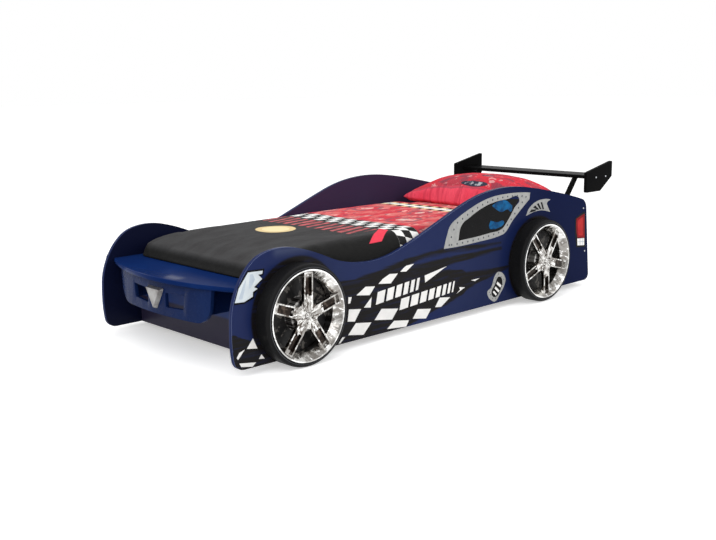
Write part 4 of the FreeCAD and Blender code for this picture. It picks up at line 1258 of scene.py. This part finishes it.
def rounded_block(name, low, high, radius, plan_corner, crown, step, material, body):
    """A soft block with rounded edges; its rims stand out from its faces by up to crown."""
    centre = (low + high) / 2
    half = (high - low) / 2
    shell = bmesh.new()
    bmesh.ops.create_cube(shell, size=2)
    for axis in range(3):
        normal = Vector([1.0 if number == axis else 0.0 for number in range(3)])
        cuts = max(3, int(2 * half[axis] / step))
        for number in range(1, cuts):
            spot = normal * (2 * number / cuts - 1)
            everything = shell.verts[:] + shell.edges[:] + shell.faces[:]
            bmesh.ops.bisect_plane(shell, geom=everything, plane_co=spot, plane_no=normal)
    inner = half - Vector((radius, radius, radius))
    corners = [(side_x * half.x, side_y * half.y) for side_x in (-1, 1) for side_y in (-1, 1)]
    for knot in shell.verts:
        place = Vector([knot.co[axis] * half[axis] for axis in range(3)])
        core = Vector([max(-inner[axis], min(inner[axis], place[axis])) for axis in range(3)])
        way = place - core
        spot = core + way.normalized() * radius if way.length > 0 else place
        swell = Vector([1 - (spot[axis] / half[axis]) ** 2 for axis in range(3)])
        for axis in range(3):
            if abs(spot[axis]) > inner[axis]:
                others = [swell[other] for other in range(3) if other != axis]
                stand_out = crown * math.sqrt(others[0] * others[1]) - crown
                spot[axis] += math.copysign(stand_out, spot[axis])
        for corner in corners:
            spot = round_corner(spot, corner, plan_corner)
        knot.co = centre + spot
    return add_piece(name, mesh_from(name, shell, smooth=True), material, body)


MATTRESS_CORNER = 0.07
ROUND_HANDLE = 0.5523        # a handle of this length bends a quarter circle


def corded_edge(name, low, high, inset, height, radius, material, body):
    """A cord that runs round a block at one height."""
    curve = bpy.data.curves.new(name, "CURVE")
    curve.dimensions = "3D"
    curve.bevel_depth = radius
    curve.bevel_resolution = 2
    corner = MATTRESS_CORNER
    left, right = low.x + inset, high.x - inset
    front, back = low.y + inset, high.y - inset
    knots = (
        (left + corner, front), (right - corner, front), (right, front + corner),
        (right, back - corner), (right - corner, back), (left + corner, back),
        (left, back - corner), (left, front + corner),
    )
    spline = curve.splines.new("BEZIER")
    spline.bezier_points.add(len(knots) - 1)
    for number, (knot, (x, y)) in enumerate(zip(spline.bezier_points, knots)):
        before_side = number % 2 == 0
        end_x, end_y = knots[number + 1 if before_side else number - 1]
        run = Vector((end_x - x, end_y - y, 0))
        along_side = Vector((x, y, height)) + run / 3
        round_bend = Vector((x, y, height)) - run.normalized() * corner * ROUND_HANDLE
        knot.co = (x, y, height)
        knot.handle_left_type = "FREE"
        knot.handle_right_type = "FREE"
        knot.handle_left, knot.handle_right = (
            (round_bend, along_side) if before_side else (along_side, round_bend)
        )
    spline.use_cyclic_u = True
    spline.resolution_u = 6
    return add_piece(name, mesh_from_curve(name, curve), material, body)


ticking = striped_ticking()
mattress_low, mattress_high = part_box("mattress")
mattress = rounded_block(
    "mattress_cover", mattress_low, mattress_high, radius=0.028, plan_corner=MATTRESS_CORNER,
    crown=0.004, step=0.03, material=ticking, body="mattress",
)
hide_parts("mattress")
CORD_SETBACK = 0.014
lower_edge, upper_edge = mattress_low.z + CORD_SETBACK, mattress_high.z - CORD_SETBACK
for label, height in (("lower", lower_edge), ("upper", upper_edge)):
    cord = corded_edge(
        "mattress_cord_" + label, mattress_low, mattress_high, inset=0.008, height=height,
        radius=0.0035, material=ticking, body="mattress",
    )
print("mattress", [round(v, 3) for v in mattress_low], [round(v, 3) for v in mattress_high])

# %% [markdown]
# The quilt lies over the mattress, hangs down inside the side panels and over the foot, and has a
# low hump where it is bunched. Its print follows the cloth, not the room: while the grid is laid,
# each corner keeps its place on the flat sheet in a UV map, in metres, so charcoal, chequered
# border and red head part fold down the sides with the cloth. Where it hangs down the sides and
# over the foot, painted shade darkens it to near black, and the red too on the near side.

# %% Quilt
QUILT_CHARCOAL = seen(62, 62, 63)
QUILT_CHARCOAL_DARK = seen(52, 51, 52)
# painted shade for the sides and the foot, where the cloth hangs down
QUILT_SIDE_SHADE = seen(14, 14, 14)
QUILT_RED = seen(204, 56, 70)
QUILT_RED_LIT = seen(214, 114, 110)
QUILT_PINK = seen(236, 172, 166)
QUILT_WHITE = seen(232, 232, 230)
QUILT_BLACK = seen(24, 24, 25)
QUILT_CREAM = seen(226, 205, 158)
# the middle, along and across, and the reach of each ring in the red part
QUILT_RINGS = (
    ((-0.06, -0.2), 0.1), ((0.1, 0.2), 0.09), ((-0.09, 0.3), 0.07), ((0.16, -0.1), 0.07),
)
FOLD_NEAR = -0.395
FOLD_FOOT = -1.04
# where the worn bars, the wedge, the borders and the disc lie on the flat sheet
BAR_RUN = (-0.515, -0.352)
BAR_SPAN = (-0.33, 0.43)
FLAG_RUN = (-0.335, -0.2075)
RED_START = -0.205
HEAD_RUN = (0.27, 0.375)
HEAD_WHITE = (0.305, 0.34)
WEDGE_RUN = (-0.125, -0.07)
WEDGE_SPAN = (-0.45, -0.325)
DISC_MIDDLE = (-0.637, 0.014)


def sheet_place(tree):
    """The place on the flat sheet, in metres: along the bed, and across it."""
    uv = add_node(tree, "ShaderNodeUVMap", uv_map="sheet").outputs[0]
    split = add_node(tree, "ShaderNodeSeparateXYZ")
    feed(tree, split.inputs[0], uv)
    return uv, split.outputs[0], split.outputs[1]


def squares(tree, along, across, size):
    """Alternate squares of that size."""
    column = calc(tree, "FLOOR", calc(tree, "DIVIDE", along, size))
    row = calc(tree, "FLOOR", calc(tree, "DIVIDE", across, size))
    return calc(tree, "FLOORED_MODULO", calc(tree, "ADD", column, row), 2.0)


def disc(tree, along, across, middle, reach, soft=0.03):
    """1 inside an oval; middle and reach are each (along, across)."""
    first = calc(tree, "DIVIDE", calc(tree, "SUBTRACT", along, middle[0]), reach[0])
    second = calc(tree, "DIVIDE", calc(tree, "SUBTRACT", across, middle[1]), reach[1])
    square = calc(tree, "MULTIPLY_ADD", first, first, times(tree, second, second))
    return ramp_down(tree, calc(tree, "SQRT", square), 1 - soft, 1 + soft)


def cotton(tree, shader, vector, gathers=0.0):
    """Threads, soft folds and pleats, scaled by gathers; returns the mask of thicker threads."""
    shader.inputs["Specular IOR Level"].default_value = 0.04
    shader.inputs["Sheen Weight"].default_value = 0.01
    shader.inputs["Sheen Roughness"].default_value = 0.4
    threads = use_group(tree, weave, Vector=vector, Threads=700.0)
    soft_fold = noise_of(tree, stretch(tree, vector, (3.0, 5.0, 1.0)), 4.0, 3.0, 0.5, 0.6)
    height = calc(tree, "MULTIPLY_ADD", soft_fold, 9.0, threads["Height"])
    pleats = noise_of(tree, stretch(tree, vector, (5.0, 30.0, 1.0)), 1.0, 2.0, 0.5, 0.5)
    height = calc(tree, "MULTIPLY_ADD", pleats, gathers, height)
    bump(tree, shader, height, 0.5, 0.0012)
    return threads["Slub"]


def quilt_print():
    material, tree, shader = start_material("quilt_print", QUILT_CHARCOAL, 0.82)
    uv, along, across = sheet_place(tree)
    slub = cotton(tree, shader, uv)
    tone = cloudy(tree, stretch(tree, uv, (1, 3, 1)), 5.0)
    colour = mix_colour(tree, tone, QUILT_CHARCOAL, QUILT_CHARCOAL_DARK)
    # painted shade: near black where the cloth hangs down the sides and over the foot
    near_side_shade = ramp_down(tree, across, FOLD_NEAR - 0.045, FOLD_NEAR + 0.035)
    far_side_shade = ramp_up(tree, across, 0.44, 0.48)
    foot_side_shade = ramp_down(tree, along, FOLD_FOOT - 0.03, FOLD_FOOT + 0.004)
    side = calc(tree, "MAXIMUM", near_side_shade, calc(tree, "MAXIMUM", far_side_shade, foot_side_shade))
    colour = mix_colour(tree, side, colour, QUILT_SIDE_SHADE)
    lean = calc(tree, "MULTIPLY_ADD", along, -0.22, across)
    wobble = noise_of(tree, stretch(tree, uv, (2, 9, 1)), 3.0, 2.0)
    lean = calc(tree, "MULTIPLY_ADD", wobble, 0.035, lean)
    bar = calc(tree, "PINGPONG", lean, 0.026)
    bars = ramp_up(tree, bar, 0.0125, 0.0145)
    bars = times(tree, bars, between(tree, along, *BAR_RUN, 0.004))
    bars = times(tree, bars, between(tree, across, *BAR_SPAN, 0.004))
    bar_tone = mix_colour(tree, wobble, seen(180, 58, 72), seen(212, 122, 122))
    worn = cloudy(tree, uv, 22.0, 0.4, 0.6)
    bars = times(tree, bars, calc(tree, "MULTIPLY_ADD", worn, -0.5, 1.0))
    colour = mix_colour(tree, bars, colour, bar_tone)
    wedge_lean = calc(tree, "MULTIPLY_ADD", along, -0.75, across)
    wedge = between(tree, wedge_lean, *WEDGE_RUN)
    wedge = times(tree, wedge, between(tree, across, *WEDGE_SPAN))
    colour = mix_colour(tree, wedge, colour, seen(226, 62, 82))
    oval = disc(tree, along, across, DISC_MIDDLE, (0.088, 0.088))
    colour = mix_colour(tree, oval, colour, seen(222, 198, 148))
    core = disc(tree, along, across, DISC_MIDDLE, (0.06, 0.06))
    colour = mix_colour(tree, core, colour, seen(236, 218, 172))
    red_part = ramp_up(tree, along, RED_START - 0.0005, RED_START + 0.0005, soft=False)
    drawn_out = stretch(tree, uv, (1, 2.4, 1))
    swirl = cloudy(tree, drawn_out, 6.0, 0.44, 0.58)
    pale = cloudy(tree, drawn_out, 10.0, 0.58, 0.64)
    shade = cloudy(tree, drawn_out, 13.0, 0.56, 0.62)
    red = mix_colour(tree, swirl, QUILT_RED, QUILT_RED_LIT)
    red = mix_colour(tree, pale, red, QUILT_PINK)
    red = mix_colour(tree, times(tree, shade, 0.7), red, seen(112, 72, 92))
    # painted shade: the red is darker where it hangs down the near side
    red = mix_colour(tree, times(tree, near_side_shade, 0.5), red, seen(110, 30, 38))
    colour = mix_colour(tree, red_part, colour, red)
    pale_patches = calc(tree, "MULTIPLY_ADD", worn, -0.6, 0.9)
    ring_strength = calc(tree, "MULTIPLY_ADD", worn, -0.5, 0.75)
    for middle, reach in QUILT_RINGS:
        outer = disc(tree, along, across, middle, (reach, reach * 0.8))
        inner = disc(tree, along, across, middle, (reach * 0.72, reach * 0.56))
        ring = times(tree, calc(tree, "SUBTRACT", outer, inner), ring_strength)
        colour = mix_colour(tree, ring, colour, seen(104, 84, 96))
        hub = disc(tree, along, across, middle, (reach * 0.4, reach * 0.3))
        colour = mix_colour(tree, times(tree, hub, pale_patches), colour, seen(226, 200, 192))
    flag_lean = calc(tree, "MULTIPLY_ADD", along, 0.35, across)
    checks = squares(tree, calc(tree, "SUBTRACT", along, FLAG_RUN[0]), flag_lean, 0.0425)
    flag = mix_colour(tree, checks, QUILT_BLACK, QUILT_WHITE)
    colour = mix_colour(tree, between(tree, along, *FLAG_RUN), colour, flag)
    head_checks = squares(tree, calc(tree, "SUBTRACT", along, HEAD_RUN[0]), across, 0.035)
    head_flag = mix_colour(tree, head_checks, QUILT_BLACK, QUILT_CREAM)
    head_flag = mix_colour(tree, between(tree, along, *HEAD_WHITE), head_flag, QUILT_WHITE)
    colour = mix_colour(tree, between(tree, along, *HEAD_RUN), colour, head_flag)
    colour = mix_colour(tree, times(tree, slub, 0.025), colour, QUILT_WHITE)
    feed(tree, shader.inputs["Base Color"], colour)
    return material


quilt_low, quilt_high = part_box("quilt")
HEM_GAP = 0.0008
SHEET_STEP = 0.014
RIMS = 8
QUILT_TOP = 0.436
FOOT_TOP = 0.389
HEAD_TOP = 0.4165
FOOT_FLARE = 0.034
SIDE_RADIUS = 0.055
FOOT_RADIUS = 0.014
PLAN_CORNER = 0.085
quilt_counts = (
    int((quilt_high.x - mattress_low.x) / SHEET_STEP),
    int((quilt_high.y - quilt_low.y - 2 * SIDE_RADIUS) / SHEET_STEP),
)


def ease(value, low, high):
    """0 below low, 1 above high, smooth between."""
    share = max(0.0, min(1.0, (value - low) / (high - low)))
    return share * share * (3 - 2 * share)


def quilt_height(x, y):
    """Height of the upper side: low over the foot, full along the bed, pressed down by the pillow."""
    foot = mattress_low.x
    rise = min(1.0, max(0.0, x - foot) / 0.3)
    height = FOOT_TOP + (QUILT_TOP - FOOT_TOP) * math.sin(math.pi / 2 * rise)
    height += (HEAD_TOP - height) * ease(x, 0.38, 0.52)
    height -= 0.028 * ease(y, 0.26, 0.47) * ease(x, foot, foot + 0.3)
    ruffle = noise.noise(Vector((x * 3.0, y * 4.2, 0.3)))
    ruffle += 0.5 * noise.noise(Vector((x * 9, y * 5, 2.0)))
    return height + 0.003 * ruffle * ease(x, foot, foot + 0.1) * (1 - ease(x, 0.3, 0.42))


def quilt_point(column, row, low, high, radius, height_of, hem, flare):
    """A point of the sheet over the mattress, and its place on the flat sheet."""
    over_x, share_x = split_run(column, RIMS, quilt_counts[0])
    over_y, share_y = split_run(row, RIMS, quilt_counts[1])
    x = low[0] + radius[0] + share_x * (high[0] - low[0] - 2 * radius[0])
    y = low[1] + radius[1] + share_y * (high[1] - low[1] - 2 * radius[1])
    top = height_of(x, y)
    reach = max(abs(over_x), abs(over_y))
    if not reach:
        return Vector((x, y, top)), (x, y)
    way = Vector((over_x, over_y)).normalized()
    bend = radius[0] * way.x ** 2 + radius[1] * way.y ** 2
    towards_head = max(0.0, way.x)
    lowest = hem + towards_head * (inner_top + 0.001 - hem)
    straight = max(0.0, top - bend - lowest)
    run = reach * (math.pi * bend / 2 + straight)
    out, down = hang(run, bend)
    down = min(down, top - lowest)
    spread = flare * max(0.0, -way.x) * (down / (top - lowest)) ** 1.2
    place = Vector((x + way.x * out - spread, y + way.y * out, top - down))
    return place, (x + way.x * run, y + way.y * run)


def make_quilt():
    shell = lay_sheet(quilt_counts, RIMS)
    sheet_map = shell.loops.layers.uv.new("sheet")
    outer_faces = shell.faces[:]
    numbers = [(knot, round(knot.co.x), round(knot.co.y)) for knot in shell.verts]
    outer_low = (mattress_low.x - FOOT_RADIUS + 0.004, quilt_low.y + HEM_GAP)
    outer_high = (quilt_high.x, quilt_high.y - HEM_GAP)
    outer_radius = (FOOT_RADIUS, SIDE_RADIUS)
    inner_low = (mattress_low.x - 0.003, mattress_low.y - 0.001)
    inner_high = (quilt_high.x - 0.012, mattress_high.y + 0.001)
    inner_radius = (0.006, 0.006)
    outer = {}
    flat = {}
    for knot, column, row in numbers:
        outer[knot], flat[knot] = quilt_point(
            column, row, outer_low, outer_high, outer_radius, quilt_height, quilt_low.z, FOOT_FLARE
        )
    for face in shell.faces:
        for loop in face.loops:
            loop[sheet_map].uv = flat[loop.vert]
    grown = bmesh.ops.extrude_face_region(shell, geom=outer_faces)
    inner_held = []
    for knot in [item for item in grown["geom"] if isinstance(item, bmesh.types.BMVert)]:
        place = quilt_point(
            round(knot.co.x), round(knot.co.y), inner_low, inner_high, inner_radius,
            lambda x, y: inner_top, quilt_low.z, 0.0,
        )[0]
        for side in (-1, 1):
            place = round_corner(place, (inner_low[0], side * inner_high[1]), PLAN_CORNER - 0.015)
        knot.co = place
        inner_held.append(knot)
    for knot, column, row in numbers:
        place = outer[knot]
        drop = (quilt_height(place.x, place.y) - place.z) / (FOOT_TOP - quilt_low.z)
        foot = outer_low[0] - FOOT_FLARE * max(0.0, min(1.0, drop))
        for side in (-1, 1):
            place = round_corner(place, (foot, side * outer_high[1]), PLAN_CORNER)
        knot.co = place
    bmesh.ops.recalc_face_normals(shell, faces=shell.faces)
    shell.verts.index_update()
    held = [knot.index for knot in inner_held]
    held += [knot.index for knot, column, row in numbers if knot.co.z < quilt_low.z + 0.012]
    return shell, held


inner_top = mattress_high.z + 0.0012
quilt_shell, quilt_held = make_quilt()
quilt_mesh = mesh_from("quilt_cover", quilt_shell, smooth=True)
quilt = add_piece("quilt_cover", quilt_mesh, quilt_print(), "quilt")
puff(quilt, quilt_held, pressure=0.6, growth=0.016, cap=0.006)
subdivide_once(quilt)
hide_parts("quilt")
print("quilt faces", len(quilt.data.polygons))

# %% [markdown]
# A pillow is two sheets joined at a seam near its underside. The upper one is laid over a crowned
# form, steeper at the front, whose highest place lies a little off the middle. A short simulation
# with inner pressure makes it look filled, and the cloth near the seam is gathered into creases.

# %% Pillow
PILLOW_RED = seen(228, 62, 86)
PILLOW_RED_LIT = seen(240, 84, 106)
# painted shade in the creases of the front
PILLOW_CREASE_SHADE = seen(176, 34, 60)
PILLOW_RIDGE = -0.15
PILLOW_WIDER = 0.02          # its corners reach further out than the plain CAD solid
# the middle and the reach, along and across, of two ovals, from the pillow's middle
PILLOW_OVALS = (((-0.14, -0.06), (0.016, 0.09)), ((-0.04, -0.075), (0.022, 0.04)))


def pillow_print():
    """Red in front of the ridge with painted shade in its creases; mottled red, grey and pink on top.
    """
    material, tree, shader = start_material("pillow_print", PILLOW_RED, 0.78)
    uv, along, across = sheet_place(tree)
    slub = cotton(tree, shader, uv, 30.0)
    tone = cloudy(tree, uv, 5.0)
    front = mix_colour(tree, tone, PILLOW_RED, PILLOW_RED_LIT)
    # painted shade: darker red streaks in the creases of the front
    crease_shade = noise_of(tree, stretch(tree, uv, (5, 24, 1)), 1.0, 3.0, 0.6, 0.6)
    crease_shade = times(tree, ramp_up(tree, crease_shade, 0.5, 0.64), 0.5)
    front = mix_colour(tree, crease_shade, front, PILLOW_CREASE_SHADE)
    drawn_out = stretch(tree, uv, (1.8, 1, 1))
    swirl = cloudy(tree, drawn_out, 6.0, 0.45, 0.57)
    shade = cloudy(tree, drawn_out, 11.0, 0.54, 0.6)
    pale = cloudy(tree, drawn_out, 16.0, 0.6, 0.65)
    mottled = mix_colour(tree, swirl, seen(206, 46, 62), seen(178, 58, 72))
    mottled = mix_colour(tree, times(tree, shade, 0.6), mottled, seen(104, 62, 78))
    mottled = mix_colour(tree, pale, mottled, seen(214, 150, 150))
    wander = noise_of(tree, uv, 9.0, 2.0)
    ridge = calc(tree, "MULTIPLY_ADD", wander, 0.03, along)
    colour = mix_colour(tree, ramp_up(tree, ridge, PILLOW_RIDGE, PILLOW_RIDGE + 0.012), front, mottled)
    seam_shade = between(tree, ridge, PILLOW_RIDGE - 0.002, PILLOW_RIDGE + 0.004, 0.003)
    colour = mix_colour(tree, times(tree, seam_shade, 0.6), colour, seen(110, 74, 84))
    spots = cloudy(tree, uv, 26.0, 0.54, 0.58)
    for middle, reach in PILLOW_OVALS:
        outer = disc(tree, along, across, middle, reach)
        colour = mix_colour(tree, outer, colour, seen(46, 52, 68))
        inner = disc(tree, along, across, middle, (reach[0] * 0.7, reach[1] * 0.8))
        colour = mix_colour(tree, times(tree, inner, spots), colour, seen(172, 176, 182))
    colour = mix_colour(tree, times(tree, slub, 0.025), colour, QUILT_WHITE)
    feed(tree, shader.inputs["Base Color"], colour)
    return material


def pillow_rise(share_x, share_y):
    """Height of the upper sheet, 0 to 1, at a place from -1 to 1 along and across the pillow."""
    leaning_y = share_y + 0.13 * (1 - share_y ** 2)
    hill = max(0.0, 1 - abs(share_x) ** 2.3) ** 0.62
    return hill * max(0.0, 1 - abs(leaning_y) ** 2.4) ** 0.62


def make_pillow(low, high, step):
    """An upper sheet over the crowned form and a flat lower one, joined at their rims."""
    centre = (low + high) / 2
    half = (high - low) / 2
    counts = (int(2 * half.x / step), int(2 * half.y / step))
    shell = bmesh.new()
    bmesh.ops.create_grid(shell, x_segments=counts[0], y_segments=counts[1], size=1)
    sheet_map = shell.loops.layers.uv.new("sheet")
    seam = low.z + 0.016
    for face in shell.faces:
        for loop in face.loops:
            loop[sheet_map].uv = (loop.vert.co.x * half.x, loop.vert.co.y * half.y)
    under = bmesh.ops.duplicate(shell, geom=shell.verts[:] + shell.edges[:] + shell.faces[:])
    lower = {item for item in under["geom"] if isinstance(item, bmesh.types.BMVert)}
    for knot in shell.verts:
        share_x, share_y = knot.co.x, knot.co.y
        rise = pillow_rise(share_x, share_y)
        pull_x = 1 - 0.045 * (1 - share_y ** 2)
        pull_y = 1 - 0.03 * (1 - share_x ** 2)
        round_x = share_x * math.sqrt(1 - 0.1 * share_y ** 8)
        round_y = share_y * math.sqrt(1 - 0.1 * share_x ** 8)
        x = centre.x + half.x * round_x * pull_x
        y = centre.y + half.y * round_y * pull_y
        if knot in lower:
            z = seam - 0.0015 - (seam - low.z - 0.0015) * min(1.0, 3 * rise)
        else:
            gather = math.sin(share_y * 41 + 2.2 * math.sin(share_y * 13)) * math.exp(-rise * 3.2)
            gather += math.sin(share_x * 23 + 1.7 * math.sin(share_x * 9)) * math.exp(-rise * 5)
            soft = noise.noise(Vector((x * 7, y * 7, 1.0)))
            z = seam + 0.0015 + (high.z - seam) * rise
            z += (0.0045 * gather + 0.006 * soft) * min(1.0, 4 * rise)
        knot.co = Vector((x, y, z))
    rims = [edge for edge in shell.edges if edge.is_boundary]
    bmesh.ops.bridge_loops(shell, edges=rims)
    bmesh.ops.recalc_face_normals(shell, faces=shell.faces)
    return shell


def keep_within(piece, low, high):
    """No point leaves the pillow's own box, so its underside stays flat."""
    for knot in piece.data.vertices:
        for axis in range(3):
            knot.co[axis] = max(low[axis], min(high[axis], knot.co[axis]))


pillow_low, pillow_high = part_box("pillow")
pillow_low = pillow_low + Vector((0.001, -PILLOW_WIDER, 0.001))
pillow_high = pillow_high + Vector((0, PILLOW_WIDER, 0.004))
pillow_shell = make_pillow(pillow_low, pillow_high, 0.0115)
pillow_mesh = mesh_from("pillow_cover", pillow_shell, smooth=True)
pillow = add_piece("pillow_cover", pillow_mesh, pillow_print(), "pillow")
puff(pillow, [], pressure=2.0, growth=0.03, cap=0.008, frames=16)
keep_within(pillow, pillow_low, pillow_high)
subdivide_once(pillow)
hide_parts("pillow")
print("pillow faces", len(pillow.data.polygons))
